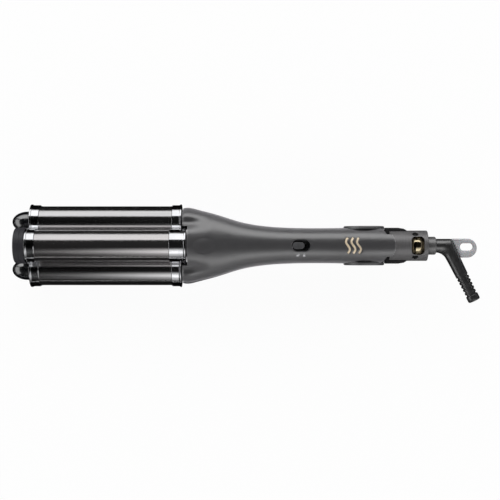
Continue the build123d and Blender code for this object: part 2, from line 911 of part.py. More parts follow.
def rear_hub():
    """Hinge knuckles, bulkhead and the half-round cradle that holds the swivel collar."""
    slot_half = hub_half_width - lug_thickness
    slot_end = spring_radius + spring_wire_radius + 2 * body_gap
    knuckle = rod_y(knuckle_radius, -hub_half_width, hub_half_width, 0.0, hinge_z)
    web = block((0, hub_front + bulkhead_thickness), (-web_half_width, web_half_width),
                (hinge_z - knuckle_radius, hinge_z + knuckle_radius / 2))
    pedestal = block((hub_front - pedestal_length - 2 * body_gap, hub_front - 2 * body_gap),
                     (-pedestal_half_width, pedestal_half_width), (pedestal_floor, hinge_z))
    cradle_end = hub_front + cradle_straight + cradle_taper
    inner = swivel_collar_radius + slip_fit
    corners = (
        (hub_front, 0), (hub_front, cradle_radius), (hub_front + cradle_straight, cradle_radius),
        (hub_front + cradle_straight + cradle_taper * 0.7, (2 * cradle_radius + inner) / 3),
        (cradle_end, inner + body_gap), (cradle_end, inner), (collar_front, inner), (collar_front, 0),
    )
    cradle = turned(corners, origin_y, hinge_z)
    cradle -= block((0, 2 * cradle_end), (-cradle_radius, cradle_radius),
                    (hinge_z + cradle_top, top_z))
    hub = knuckle + web + pedestal + cradle
    hub -= block((-2 * knuckle_radius, slot_end), (-slot_half, slot_half),
                 (hinge_z - 2 * knuckle_radius, top_z))
    hub -= rod_y(pin_radius + slip_fit, -hub_half_width, hub_half_width, 0.0, hinge_z)
    for y, z in hub_leads():
        hub -= rod_x(lead_radius + slip_fit, 0, collar_front, y, z)
    for x, y in hub_screw_places():
        hub -= rod_z(screw_radius + slip_fit, 0, pedestal_floor + pedestal_half_width + body_gap, x, y)
    return hub


def hub_screws():
    screws = []
    for x, y in hub_screw_places():
        head_low = foot_height
        head = rod_z(screw_head_radius, head_low, head_low + screw_head_height, x, y)
        shaft = rod_z(screw_radius, head_low + screw_head_height, pedestal_floor + pedestal_half_width,
                      x, y)
        screws.append(head + shaft)
    return group(screws)


def hinge_pin():
    pin = rod_y(pin_radius, -disc_y, disc_y, 0.0, hinge_z)
    bore = disc_spigot_radius + slip_fit
    depth = disc_y - disc_spigot_length
    pin -= rod_y(bore, -disc_y, -depth, 0.0, hinge_z)
    return pin - rod_y(bore, depth, disc_y, 0.0, hinge_z)


def hinge_bushes():
    rings = []
    for low, high in ((-pocket_y, -cheek_y), (cheek_y, pocket_y)):
        ring = rod_y(pin_radius + running_fit + bush_wall, low, high, 0.0, hinge_z)
        rings.append(ring - rod_y(pin_radius + running_fit, low, high, 0.0, hinge_z))
    return group(rings)


def hinge_disc(side):
    """Round side cover with a spigot in the end of the pin."""
    disc = rod_y(disc_radius, disc_y, disc_y + disc_thickness, 0.0, hinge_z)
    disc = fillet(disc.faces().sort_by(Axis.Y)[-1].edges(), disc_edge)
    disc += rod_y(disc_spigot_radius, disc_y - disc_spigot_length, disc_y, 0.0, hinge_z)
    return mirror(disc, about=Plane.XZ) if side < 0 else disc


def return_spring():
    """Torsion spring round the pin, with a leg under each inner plate's edge."""
    start_angle = math.radians(-90 - spring_leg_angle)
    turns = spring_turns + (180 + 2 * spring_leg_angle) / 360
    length = 2 * spring_half_length
    place = Plane(
        origin=(0, spring_half_length, hinge_z),
        x_dir=(math.cos(start_angle), 0, math.sin(start_angle)),
        z_dir=(0, -1, 0),
    )
    coil_path = place * Helix(length / turns, length, spring_radius)
    start = Plane(origin=coil_path @ 0, z_dir=coil_path % 0)
    end = Plane(origin=coil_path @ 1, z_dir=coil_path % 1)
    coil = sweep(start * Circle(spring_wire_radius), path=coil_path)
    first_leg = extrude(start * Circle(spring_wire_radius), -spring_leg_length)
    second_leg = extrude(end * Circle(spring_wire_radius), spring_leg_length)
    return coil + first_leg + second_leg


# Cord swivel -------------------------------------------------------------------------------------

def ball_x():
    return collar_front + ball_centre


def window_cut():
    """Opening in the top of the collar that shows the ball."""
    shape = RectangleRounded(window_length, 2 * window_half_width, window_corner)
    base = Plane(origin=(ball_x(), 0, hinge_z + shaft_radius))
    return extrude(base * shape, swivel_collar_radius)


def side_hole_plane(angle, radius):
    """Plane square to a side hole, at a radius from the swivel's axis."""
    tilt = math.radians(angle)
    outward = (0, math.sin(tilt), math.cos(tilt))
    x = collar_front + side_hole_from_front
    centre = (x, radius * outward[1], hinge_z + radius * outward[2])
    return Plane(origin=centre, x_dir=(1, 0, 0), z_dir=outward)


def swivel_collar():
    """Metal collar held in the cradle; its bore and lip keep the ball."""
    lip_x = collar_end - swivel_lip
    collar = rod_x(swivel_collar_radius, collar_front, collar_end, origin_y, hinge_z)
    collar -= rod_x(swivel_bore_radius, collar_front, lip_x, origin_y, hinge_z)
    collar -= rod_x(swivel_neck_radius + running_fit, lip_x, collar_end, origin_y, hinge_z)
    collar -= window_cut()
    for angle in (-side_hole_angle, side_hole_angle):
        seat = side_hole_plane(angle, swivel_collar_radius - side_hole_depth)
        collar -= extrude(seat * Circle(side_hole_radius), 2 * side_hole_depth)
        collar -= extrude(seat * Circle(collar_screw_radius + slip_fit), -side_hole_depth)
    return collar


def collar_screws():
    """Small screws sunk in the collar's side holes."""
    screws = []
    for angle in (-side_hole_angle, side_hole_angle):
        seat = side_hole_plane(angle, swivel_collar_radius - side_hole_depth)
        head = extrude(seat * Circle(side_hole_radius - 2 * running_fit), side_hole_depth / 2)
        screws.append(head + extrude(seat * Circle(collar_screw_radius), -side_hole_depth / 2))
    return group(screws)


def ball_radius():
    return swivel_bore_radius - running_fit


def swivel_ball():
    """Polished ball on the shaft, cut flat where it meets the neck."""
    ball = Pos(ball_x(), 0, hinge_z) * Sphere(ball_radius())
    lip_x = collar_end - swivel_lip - running_fit
    reach = lip_x - ball_x()
    ball &= block((ball_x() - ball_radius(), ball_x() + reach), (-cap_radius, cap_radius),
                  (hinge_z - cap_radius, hinge_z + cap_radius))
    return ball - rod_x(shaft_radius + slip_fit, collar_front, collar_end, origin_y, hinge_z)


def swivel_neck():
    """Hollow shaft through the ball, with the wide neck outside the collar."""
    face_x = collar_end - swivel_lip - running_fit
    neck = rod_x(swivel_neck_radius, face_x, neck_end, origin_y, hinge_z)
    neck = fillet(neck.faces().sort_by(Axis.X)[-1].edges(), swivel_neck_round)
    shaft = rod_x(shaft_radius, collar_front + shaft_start, face_x, origin_y, hinge_z)
    neck += shaft
    neck -= rod_x(shaft_bore_radius, collar_front, neck_end, origin_y, hinge_z)
    socket_x = neck_end - boot_spigot_length
    return neck - rod_x(boot_spigot_radius + slip_fit, socket_x, neck_end, origin_y, hinge_z)


def slip_ring_places():
    first = collar_front + shaft_start + slip_ring_width
    return [first + row * slip_ring_pitch for row in range(slip_ring_count)]


def slip_rings():
    rings = []
    for x in slip_ring_places():
        ring = rod_x(shaft_radius + slip_fit + slip_ring_thickness, x, x + slip_ring_width,
                     origin_y, hinge_z)
        rings.append(ring - rod_x(shaft_radius + slip_fit, x, x + slip_ring_width, origin_y, hinge_z))
    return group(rings)


def slip_contacts():
    """Brass brushes from the collar's bore down to the slip rings."""
    ring_top = shaft_radius + slip_fit + slip_ring_thickness + 2 * running_fit
    half = contact_width / 2
    bore = rod_x(swivel_bore_radius - slip_fit, collar_front, collar_end, origin_y, hinge_z)
    brushes = []
    for x in slip_ring_places():
        brush = block((x, x + slip_ring_width), (-half, half),
                      (hinge_z + ring_top, hinge_z + swivel_collar_radius))
        brushes.append(brush & bore)
    return group(brushes)


# Strain relief -----------------------------------------------------------------------------------

def boot_direction():
    tilt = math.radians(boot_tilt)
    return (math.cos(tilt), -math.sin(tilt), 0)


def boot_plane(distance):
    """Plane square to the boot at a distance from its bend."""
    along = boot_direction()
    centre = (bend_x + distance * along[0], distance * along[1], hinge_z)
    return Plane(origin=centre, x_dir=(0, 0, 1), z_dir=along)


def boot_cone(start_radius, end_radius, start, end):
    """Cone along the boot between two distances from its bend."""
    low = boot_plane(start) * Circle(start_radius)
    high = boot_plane(end) * Circle(end_radius)
    return loft([low.face(), high.face()])


def boot_elbow():
    """Two rods that meet in a mitre at the bend."""
    half_tilt = math.radians(boot_tilt / 2)
    mitre = Plane(origin=(bend_x, 0, hinge_z), x_dir=(0, 0, 1),
                  z_dir=(math.cos(half_tilt), -math.sin(half_tilt), 0))
    reach = 2 * boot_radius
    ahead = extrude(mitre * Rectangle(2 * reach, 2 * reach), 2 * reach)
    behind = extrude(mitre * Rectangle(2 * reach, 2 * reach), -2 * reach)
    straight = rod_x(boot_radius, neck_end, bend_x + reach, origin_y, hinge_z) - ahead
    turned_aside = boot_cone(boot_radius, boot_radius, -reach, boot_root) - behind
    return straight + turned_aside


def boot_corners():
    """Outline of the boot past its root, as (distance from the bend, radius) corners."""
    bead_start = boot_length - bead_length
    taper = (boot_radius - boot_end_radius) / (bead_start - boot_root)
    corners = [(boot_root, boot_radius)]
    for row in range(rib_count, 0, -1):
        end = bead_start - (row - 1) * rib_pitch
        start = end - rib_groove
        radius = boot_radius - taper * (start - boot_root)
        corners += [(start, radius), (start, radius - rib_depth), (end, radius - rib_depth)]
        if row > 1:
            corners.append((end, boot_radius - taper * (end - boot_root)))
    corners += [
        (bead_start, bead_radius - disc_edge / 2), (bead_start + disc_edge / 2, bead_radius),
        (boot_length - disc_edge / 2, bead_radius), (boot_length, bead_radius - disc_edge / 2),
    ]
    return corners


def strain_relief():
    """Flexible boot that turns the lead aside, ribbed towards its end."""
    socket_start = boot_length - cord_socket
    corners = [(boot_root, 0)] + boot_corners()
    corners += [(boot_length, cord_radius), (socket_start, cord_radius), (socket_start, 0)]
    profile = make_face(Polyline(*corners, close=True))
    length = revolve(profile, Axis.X)
    base = Plane(origin=(bend_x, 0, hinge_z), x_dir=boot_direction(), z_dir=(0, 0, 1))
    spigot = rod_x(boot_spigot_radius, neck_end - boot_spigot_length, neck_end, origin_y, hinge_z)
    return base.location * length + boot_elbow() + spigot


def hanging_loop():
    """Flat moulded eye on the outer side of the boot's bend."""
    end_x = bend_x + loop_reach
    centre_y = -loop_centre_drop
    tab = SlotOverall(loop_reach + loop_half_width, 2 * loop_half_width)
    tab = Pos(end_x - (loop_reach + loop_half_width) / 2, centre_y) * tab
    eye = Pos(end_x - eye_from_end, centre_y + eye_width / 6) * SlotOverall(eye_length, eye_width)
    plate = extrude(Pos(0, 0, hinge_z - loop_thickness / 2) * (tab - eye), loop_thickness)
    side = boot_plane(0)
    along = boot_direction()
    across = (-along[1], along[0], 0)
    keep = Plane(origin=side.origin, x_dir=along, z_dir=(0, 0, 1))
    far = 2 * boot_length
    outside = extrude(keep.offset(-loop_thickness) * Pos(0, far / 2) * Rectangle(2 * far, far),
                      2 * loop_thickness)
    plate &= outside
    corner_x = bend_x + boot_radius * math.tan(math.radians(boot_tilt / 2))
    plate -= block((0, corner_x), (-boot_length, boot_length), (0, top_z))
    spare = boot_cone(boot_radius + slip_fit, boot_radius + slip_fit, -boot_root, boot_length)
    return plate - spare


# Leads and fuse ----------------------------------------------------------------------------------

def upper_leads():
    """Two leads from the upper barrel's neck back past the latch."""
    start = wall_x + shank_length
    mid = start + flare_length / 2
    end = -knuckle_radius - 4 * arm_wall
    leads = []
    for side in (-1, 1):
        near = side * (lead_radius + body_gap)
        wide = side * 2 * lead_spacing * 0.7
        path = FilletPolyline(
            (start, near, upper_z), (start + flare_length / 4, near, upper_z),
            (mid, wide, upper_z - lead_spacing), (end, wide, upper_z - lead_spacing),
            radius=flare_length / 4,
        )
        section = Plane(origin=path @ 0, z_dir=path % 0) * Circle(lead_radius)
        leads.append(sweep(section, path=path))
    return group(leads)


def thermal_fuse():
    """Sleeved fuse in the upper barrel's neck."""
    start = wall_x + shank_length - fuse_length - body_gap
    return rod_x(fuse_radius, start, start + fuse_length, origin_y, upper_z)


def supply_leads():
    """Two leads from the terminal block through the hub to the slip-ring chamber."""
    leads = []
    for y, z in hub_leads():
        leads.append(rod_x(lead_radius, board_end(), collar_front + shaft_start / 2, y, z))
    return group(leads)


def rest_foot():
    """Rubber foot under the hinge."""
    return rod_z(foot_radius, 0, foot_height, 0.0, origin_y)


# Nodes -------------------------------------------------------------------------------------------

def lower_barrel_nodes(side_name, y):
    """Every piece of one lower barrel, by node name."""
    z = lower_z
    start = lower_cap_start
    return {
        "lower_barrel_" + side_name: barrel(y, z, start),
        "lower_front_cap_" + side_name: front_cap(y, z),
        "lower_rear_cap_" + side_name: rear_cap(y, z, start, lower_cap_end),
        "lower_cool_tip_" + side_name: bullet_tip(y, z),
        "lower_neck_" + side_name: barrel_neck(y, z, start, front_x),
        "lower_heater_" + side_name: heater(y, z, start),
        "lower_heat_spreader_" + side_name: heat_spreaders(y, z, start),
    }


def all_nodes():
    nodes = {
        "upper_cover": upper_cover(),
        "upper_inner_plate": upper_inner_plate(),
        "upper_barrel": barrel(origin_y, upper_z, upper_cap_start),
        "upper_front_cap": front_cap(origin_y, upper_z),
        "upper_rear_collar": rear_cap(origin_y, upper_z, upper_cap_start, upper_cap_end),
        "upper_cool_tip": disc_tip(origin_y, upper_z),
        "upper_neck": barrel_neck(origin_y, upper_z, upper_cap_start, middle_x),
        "upper_heater": heater(origin_y, upper_z, upper_cap_start),
        "upper_heat_spreader": heat_spreaders(origin_y, upper_z, upper_cap_start),
        "upper_cover_screws": cover_screws(),
        "upper_leads": upper_leads(),
        "thermal_fuse": thermal_fuse(),
        "emblem": emblem(),
        "hinge_bushes": hinge_bushes(),
        "lock_bezel": lock_bezel(),
        "detent_spring": detent_spring(),
        "lock_knob": lock_knob(),
        "latch_hook": latch_hook(),
        "latch_catch": latch_catch(),
        "lower_cover": lower_cover(),
        "lower_inner_plate": lower_inner_plate(),
        "lower_cover_screws": to_lower(cover_screws()),
        "control_board": control_board(),
        "board_parts": board_parts(),
        "board_screws": board_screws(),
        "tact_switches": tact_switches(),
        "display_window": display_window(),
        "rear_hub": rear_hub(),
        "hub_screws": hub_screws(),
        "hinge_pin": hinge_pin(),
        "hinge_disc_left": hinge_disc(1),
        "hinge_disc_right": hinge_disc(-1),
        "return_spring": return_spring(),
        "supply_leads": supply_leads(),
        "rest_foot": rest_foot(),
        "swivel_collar": swivel_collar(),
        "collar_screws": collar_screws(),
        "slip_contacts": slip_contacts(),
        "slip_rings": slip_rings(),
        "swivel_ball": swivel_ball(),
        "swivel_neck": swivel_neck(),
        "strain_relief": strain_relief(),
        "hanging_loop": hanging_loop(),
    }
    for name, x in zip(("power_button", "plus_button", "minus_button"), button_places()):
        nodes[name] = button(x)
    nodes.update(lower_barrel_nodes("left", side_y))
    nodes.update(lower_barrel_nodes("right", -side_y))
    return nodes


os.makedirs("parts", exist_ok=True)
for node_name, shape in all_nodes().items():
    export_step(shape, f"parts/{node_name}.step")
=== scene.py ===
import json
import math
from contextlib import contextmanager

import bpy
from bpy.props import FloatProperty, FloatVectorProperty, PointerProperty
from bpy.types import Operator, Panel, PropertyGroup
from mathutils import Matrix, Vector
from mathutils.bvhtree import BVHTree

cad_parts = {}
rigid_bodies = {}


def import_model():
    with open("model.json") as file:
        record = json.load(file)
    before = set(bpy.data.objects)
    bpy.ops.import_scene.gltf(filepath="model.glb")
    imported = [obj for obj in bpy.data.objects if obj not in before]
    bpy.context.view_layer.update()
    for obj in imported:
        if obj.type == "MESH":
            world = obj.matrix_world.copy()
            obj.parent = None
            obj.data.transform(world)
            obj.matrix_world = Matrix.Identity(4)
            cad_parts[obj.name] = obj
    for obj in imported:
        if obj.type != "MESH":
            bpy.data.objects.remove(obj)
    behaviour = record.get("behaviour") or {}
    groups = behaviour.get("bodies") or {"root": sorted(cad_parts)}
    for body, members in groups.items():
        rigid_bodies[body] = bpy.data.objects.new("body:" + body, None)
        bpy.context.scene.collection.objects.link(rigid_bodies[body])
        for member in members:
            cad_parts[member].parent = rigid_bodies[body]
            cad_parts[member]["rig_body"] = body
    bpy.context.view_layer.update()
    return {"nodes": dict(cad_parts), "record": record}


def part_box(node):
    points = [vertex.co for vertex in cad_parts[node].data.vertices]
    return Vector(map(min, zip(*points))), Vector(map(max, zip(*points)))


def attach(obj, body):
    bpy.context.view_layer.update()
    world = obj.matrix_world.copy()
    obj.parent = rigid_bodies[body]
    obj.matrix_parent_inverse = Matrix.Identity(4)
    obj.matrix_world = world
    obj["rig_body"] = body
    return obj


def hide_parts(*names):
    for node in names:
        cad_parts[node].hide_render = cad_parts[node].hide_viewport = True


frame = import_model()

bl_info = {
    "name": "Hair Waver",
    "version": (1, 0, 0),
    "blender": (4, 5, 0),
    "location": "View3D > Sidebar > Waver",
    "description": "Dresses a three-barrel hair waver: surfaces, trim, printing and studio",
    "category": "Object",
}

MM = 0.001
SEAM = 1e-6                     # vertices closer than this are one
HINGE_Z = sum(corner.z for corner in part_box("hinge_pin")) / 2


# Sizes and colours that a user would change --------------------------------------

def length(name, description, default):
    """A length property in metres."""
    return FloatProperty(name=name, description=description, default=default, unit="LENGTH",
                         precision=5)


def power(name, description, default):
    """A lamp's power in watts."""
    return FloatProperty(name=name, description=description, default=default, unit="POWER")


def colour(name, description, default):
    """A linear colour property."""
    return FloatVectorProperty(name=name, description=description, default=default,
                               subtype="COLOR", size=3, min=0.0, max=1.0)


class WaverSizes(PropertyGroup):
    """Sizes of the details that are added round the frame."""
    edge_round: length("Edge rounding", "Rounding of moulded edges", 0.35 * MM)
    metal_round: length("Metal rounding", "Rounding of turned metal edges", 0.22 * MM)
    crease_depth: length("Crease depth", "Depth of the creases between the lobes", 4.2 * MM)
    crease_spread: length("Crease spread", "Half width of a crease", 3.0 * MM)
    crease_length: length("Crease length", "How far a crease runs back from the edge", 25 * MM)
    crease_across: length("Crease place", "Distance of a crease from the middle", 17.6 * MM)
    print_height: length("Print height", "Thickness of the printed marks", 0.03 * MM)


class WaverColours(PropertyGroup):
    """Base colours of the finishes."""
    soft_touch: colour("Soft-touch plastic", "Covers of both arms", (0.026, 0.0257, 0.0273))
    barrel: colour("Barrel coating", "Ceramic coating of the barrels", (0.62, 0.613, 0.62))
    steel: colour("Cap steel", "Polished caps of the barrels", (0.93, 0.935, 0.96))
    cool_tip: colour("Cool tips", "Satin plastic of the cool tips", (0.004, 0.0044, 0.0055))
    gunmetal: colour("Gunmetal", "Satin metal of the swivel collar", (0.125, 0.122, 0.124))
    gold: colour("Gold", "Ball of the swivel", (0.93, 0.79, 0.52))
    boot: colour("Boot rubber", "Strain relief", (0.011, 0.011, 0.0115))
    loop: colour("Loop plastic", "Hanging loop", (0.36, 0.36, 0.374))


class WaverStudio(PropertyGroup):
    """Light and camera."""
    key_power: power("Key power", "Softbox behind, seen in the polished pieces", 48.0)
    fill_power: power("Fill power", "Two lamps that light the mouldings only", 98.0)
    side_power: power("Side power", "Softbox on the left", 14.0)
    front_glow: FloatProperty(name="Front glow", description="Strength of the soft glow in front",
                              default=1.45)
    camera_height: length("Camera height", "Camera above the rest surface", 0.939)
    camera_lens: FloatProperty(name="Lens", description="Focal length", default=83.25,
                               unit="CAMERA")


def sizes():
    return bpy.context.scene.waver_sizes


def colours():
    return bpy.context.scene.waver_colours


def studio():
    return bpy.context.scene.waver_studio


# Modelling helpers ---------------------------------------------------------------

def deselect():
    """Leave nothing selected, so that what is added next is selected alone."""
    bpy.ops.object.select_all(action="DESELECT")


def only(obj):
    """Make obj the only selected object, and the active one."""
    deselect()
    obj.select_set(True)
    bpy.context.view_layer.objects.active = obj


@contextmanager
def editing(obj):
    """Edit mode on one object, with all of its mesh selected."""
    only(obj)
    bpy.ops.object.mode_set(mode="EDIT")
    bpy.ops.mesh.select_mode(type="VERT")
    bpy.ops.mesh.select_all(action="SELECT")
    yield
    bpy.ops.object.mode_set(mode="OBJECT")


def apply_modifier(obj, kind, name, **settings):
    """Add a modifier with its settings and apply it."""
    only(obj)
    modifier = obj.modifiers.new(name, kind)
    for key, value in settings.items():
        setattr(modifier, key, value)
    bpy.ops.object.modifier_apply(modifier=modifier.name)


def round_edges(obj, width, segments=2, angle=35.0):
    """Round every edge that is sharper than angle, and draw stray corners back to the skin."""
    mesh = obj.data
    skin = BVHTree.FromPolygons([v.co.copy() for v in mesh.vertices],
                                [list(p.vertices) for p in mesh.polygons])
    apply_modifier(obj, "BEVEL", "round", width=width, segments=segments, limit_method="ANGLE",
                   angle_limit=math.radians(angle), use_clamp_overlap=False,
                   miter_outer="MITER_ARC")
    for vertex in obj.data.vertices:
        spot, normal, face, away = skin.find_nearest(vertex.co)
        if away > width / 2:
            vertex.co = spot


def smooth(obj, angle=32.0):
    """Shade smooth, with edges sharper than angle left crisp."""
    only(obj)
    bpy.ops.object.shade_smooth_by_angle(angle=math.radians(angle))


def place(obj):
    """Move an object's place into its mesh."""
    only(obj)
    bpy.ops.object.transform_apply(location=True, rotation=True, scale=True)


def outward(obj, seam=SEAM):
    """Merge doubles and point every face outwards."""
    with editing(obj):
        bpy.ops.mesh.remove_doubles(threshold=seam)
        bpy.ops.mesh.normals_make_consistent(inside=False)


def body_of(node):
    return frame["nodes"][node]["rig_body"]


def slot_of(node):
    for entry in frame["record"]["subparts"]:
        if entry["node"] == node:
            return entry["material_slot"]
    raise ValueError("no slot for " + node)


def dress(obj, body, slot, finish, *nodes):
    """Give a finished piece its material, its body and the nodes it stands for; the slot is not
    used.
    """
    place(obj)
    obj.data.materials.clear()
    obj.data.materials.append(made(finish))
    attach(obj, body)
    if nodes:
        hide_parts(*nodes)
    return obj


def dress_as(node, obj, finish):
    """Dress a piece that stands for one frame node, on that node's body."""
    return dress(obj, body_of(node), slot_of(node), finish, node)


def copy_of(node, name):
    """A merged copy of a frame node's mesh, as a new object."""
    obj = bpy.data.objects.new(name, frame["nodes"][node].data.copy())
    bpy.context.scene.collection.objects.link(obj)
    with editing(obj):
        bpy.ops.mesh.customdata_custom_splitnormals_clear()
        bpy.ops.mesh.remove_doubles(threshold=SEAM)
        bpy.ops.mesh.dissolve_limited(angle_limit=math.radians(0.3))
    return obj


def softened(node, name, width, finish, segments=2, angle=35.0):
    """A copy of a frame node with its edges rounded, standing for it."""
    obj = copy_of(node, name)
    round_edges(obj, width, segments, angle)
    smooth(obj)
    return dress_as(node, obj, finish)


def ring_walk(name, corners, centre, axis="X", sides=112):
    """Turn a piece: a ring walks through (along, radius) corners; a radius of zero closes it."""
    turn = {"X": (0.0, math.pi / 2, 0.0), "Y": (math.pi / 2, 0.0, 0.0)}[axis]
    way = Vector({"X": (1, 0, 0), "Y": (0, 1, 0)}[axis])
    middle = Vector(centre)
    first_along, first_radius = corners[0]
    deselect()
    bpy.ops.mesh.primitive_circle_add(vertices=sides, radius=max(first_radius, SEAM),
                                      location=middle + way * first_along, rotation=turn)
    obj = bpy.context.object
    obj.name = name
    place(obj)
    with editing(obj):
        for (start, radius), (end, next_radius) in zip(corners, corners[1:]):
            bpy.ops.mesh.extrude_region_move(TRANSFORM_OT_translate={"value": way * (end - start)})
            ratio = max(next_radius, SEAM) / max(radius, SEAM)
            scale = [ratio if component < 0.5 else 1.0 for component in way]
            bpy.ops.transform.resize(value=scale, center_override=middle + way * end)
    outward(obj, 3 * SEAM)
    return obj


def edge(start, radius, way, steps):
    """Corners of a turned edge, from (along, inward) steps in mm off its start and its radius."""
    return [(start + way * along * MM, radius - inward * MM) for along, inward in steps]


def box_of(node):
    """The middle of a node's box, half its length along X and half its height."""
    low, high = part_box(node)
    return (low + high) / 2, (high.x - low.x) / 2, (high.z - low.z) / 2


def slab(name, low, high):
    """Box between two corners, as a start for shaping."""
    centre = [(a + b) / 2 for a, b in zip(low, high)]
    deselect()
    bpy.ops.mesh.primitive_cube_add(size=1, location=centre)
    obj = bpy.context.object
    obj.name = name
    obj.scale = [b - a for a, b in zip(low, high)]
    place(obj)
    return obj


def flat_ring(radius, line, thick, rounds, spot, stretch=1.0):
    """Printed ring: a torus pressed flat, and stretched along Y where it is a shackle."""
    deselect()
    bpy.ops.mesh.primitive_torus_add(major_radius=radius, minor_radius=line, major_segments=rounds,
                                     minor_segments=8, location=spot)
    ring = bpy.context.object
    ring.scale = (1.0, stretch, thick / line)
    place(ring)
    return ring


def joined(name, objs):
    """Several meshes as one piece."""
    deselect()
    for obj in objs:
        obj.select_set(True)
    bpy.context.view_layer.objects.active = objs[0]
    bpy.ops.object.join()
    objs[0].name = name
    return objs[0]


def fade(x, start, end):
    """Smooth fall from one at start to zero at end."""
    t = min(max((x - start) / (end - start), 0.0), 1.0)
    return 1.0 - t * t * (3.0 - 2.0 * t)


# Finishes ------------------------------------------------------------------------

MOTTLE_SPAN = (0.3, 0.7)        # part of a texture's range over which a colour changes
GLOSS_SPAN = (0.25, 0.75)       # part of a texture's range over which the roughness changes
LEAST_ROUGHNESS = 0.02
STRAIGHT = (1.0, 1.0, 1.0)


def feed(tree, node, **inputs):
    """Give a node's inputs, named with underscores, a value each or another node's socket."""
    for key, value in inputs.items():
        socket = node.inputs[key.replace("_", " ")]
        if isinstance(value, bpy.types.NodeSocket):
            tree.links.new(value, socket)
        else:
            socket.default_value = value
    return node


def added(tree, kind, **inputs):
    """A new shader node with its inputs."""
    return feed(tree, tree.nodes.new("ShaderNode" + kind), **inputs)


def ramp(tree, source, stops, blend="LINEAR"):
    """A colour ramp through (position, colour) stops, from low to high."""
    node = added(tree, "ValToRGB", Fac=source)
    node.color_ramp.interpolation = blend
    elements = node.color_ramp.elements
    elements[0].position, elements[1].position = stops[0][0], stops[-1][0]
    for position, tone in stops[1:-1]:
        elements.new(position)
    for element, (position, tone) in zip(elements, stops):
        element.color = (*tone, 1.0)
    return node.outputs["Color"]


class Finish:
    """A material's node tree, built a step at a time round one Principled shader."""

    def __init__(self, name, base, roughness, metallic=0.0, **sockets):
        self.material = bpy.data.materials.new(name)
        self.material.use_nodes = True
        self.tree = self.material.node_tree
        self.shader = self.tree.nodes["Principled BSDF"]
        self.place = self.tree.nodes.new("ShaderNodeTexCoord").outputs["Object"]
        self.base = base
        self.roughness = roughness
        feed(self.tree, self.shader, Base_Color=(*base, 1.0), Roughness=roughness,
             Metallic=metallic, **sockets)

    def noise(self, scale, detail=4.0, stretch=STRAIGHT):
        """Noise on the object's own coordinates."""
        mapping = added(self.tree, "Mapping", Vector=self.place, Scale=stretch)
        texture = added(self.tree, "TexNoise", Vector=mapping.outputs["Vector"], Scale=scale,
                        Detail=detail)
        return texture.outputs["Fac"]

    def rings(self, scale, distortion):
        """Turned lines square to the waver's length."""
        texture = added(self.tree, "TexWave", Vector=self.place, Scale=scale,
                        Distortion=distortion)
        texture.wave_type = "BANDS"
        texture.bands_direction = "X"
        return texture.outputs["Fac"]

    def mottle(self, source, darker, lighter):
        """Vary the base colour between a darker and a lighter tone."""
        stops = [(position, [min(part * tone, 1.0) for part in self.base])
                 for position, tone in zip(MOTTLE_SPAN, (darker, lighter))]
        feed(self.tree, self.shader, Base_Color=ramp(self.tree, source, stops))
        return self

    def gloss(self, source, spread):
        """Vary the roughness about its own value."""
        low, high = GLOSS_SPAN
        node = added(self.tree, "MapRange", Value=source, From_Min=low, From_Max=high,
                     To_Min=max(self.roughness - spread, LEAST_ROUGHNESS),
                     To_Max=self.roughness + spread)
        feed(self.tree, self.shader, Roughness=node.outputs["Result"])
        return self

    def grain(self, source, strength, depth):
        """Raise the surface by a texture, to a depth in millimetres."""
        node = added(self.tree, "Bump", Height=source, Strength=strength, Distance=depth * MM)
        feed(self.tree, self.shader, Normal=node.outputs["Normal"])
        return self


def noisy_finish(name, base, roughness, metallic=0.0, mottle=None, gloss=None, grain=None,
                 **sockets):
    """A finish with plain noise in its colour, its roughness and its surface."""
    finish = Finish(name, getattr(colours(), base) if isinstance(base, str) else base,
                    roughness, metallic, **sockets)
    if mottle:
        scale, darker, lighter, *detail = mottle
        finish.mottle(finish.noise(scale, *detail), darker, lighter)
    if gloss:
        scale, spread, *detail = gloss
        finish.gloss(finish.noise(scale, *detail), spread)
    if grain:
        scale, strength, depth, *detail = grain
        finish.grain(finish.noise(scale, *detail), strength, depth)
    return finish


def barrel_finish(name):
    """Dark mirror coating, with a thin share of diffuse light; the upper barrel's is warmer."""
    sheen, cast = (0.022, (1.0, 0.98, 0.97)) if name.startswith("warm") else (0.01, STRAIGHT)
    finish = Finish(name, [c * k for c, k in zip(colours().barrel, cast)], 0.15, 1.0 - sheen)
    drawn = finish.noise(40.0, 6.0, (0.25, 9.0, 9.0))
    polish = finish.noise(500.0, 2.0, (0.1, 1.0, 1.0))
    return finish.mottle(drawn, 0.92, 1.08).gloss(drawn, 0.04).grain(polish, 0.02, 0.05)


def steel_finish(name):
    finish = Finish(name, colours().steel, 0.13, 1.0)
    finish.mottle(finish.noise(70.0), 0.92, 1.05).gloss(finish.noise(300.0), 0.03)
    return finish.grain(finish.rings(1500.0, 0.6), 0.05, 0.02)


def disc_tip_finish(name):
    finish = Finish(name, (0.020, 0.0195, 0.023), 0.5)
    lathe = finish.rings(420.0, 1.5)
    finish.mottle(lathe, 0.8, 1.25).gloss(finish.noise(300.0), 0.06)
    return finish.grain(lathe, 0.10, 0.06)


def gunmetal_finish(name):
    finish = Finish(name, colours().gunmetal, 0.38, 0.35, IOR=1.8, Specular_IOR_Level=0.8)
    brushed = finish.noise(120.0, 4.0, (14.0, 1.0, 1.0))
    return finish.mottle(brushed, 0.86, 1.12).gloss(brushed, 0.06).grain(brushed, 0.06, 0.04)


def aluminium_finish(name):
    finish = Finish(name, (0.72, 0.72, 0.73), 0.35, 1.0)
    drawn = finish.noise(60.0, 5.0, (0.3, 8.0, 8.0))
    return finish.mottle(drawn, 0.88, 1.06).gloss(drawn, 0.06)


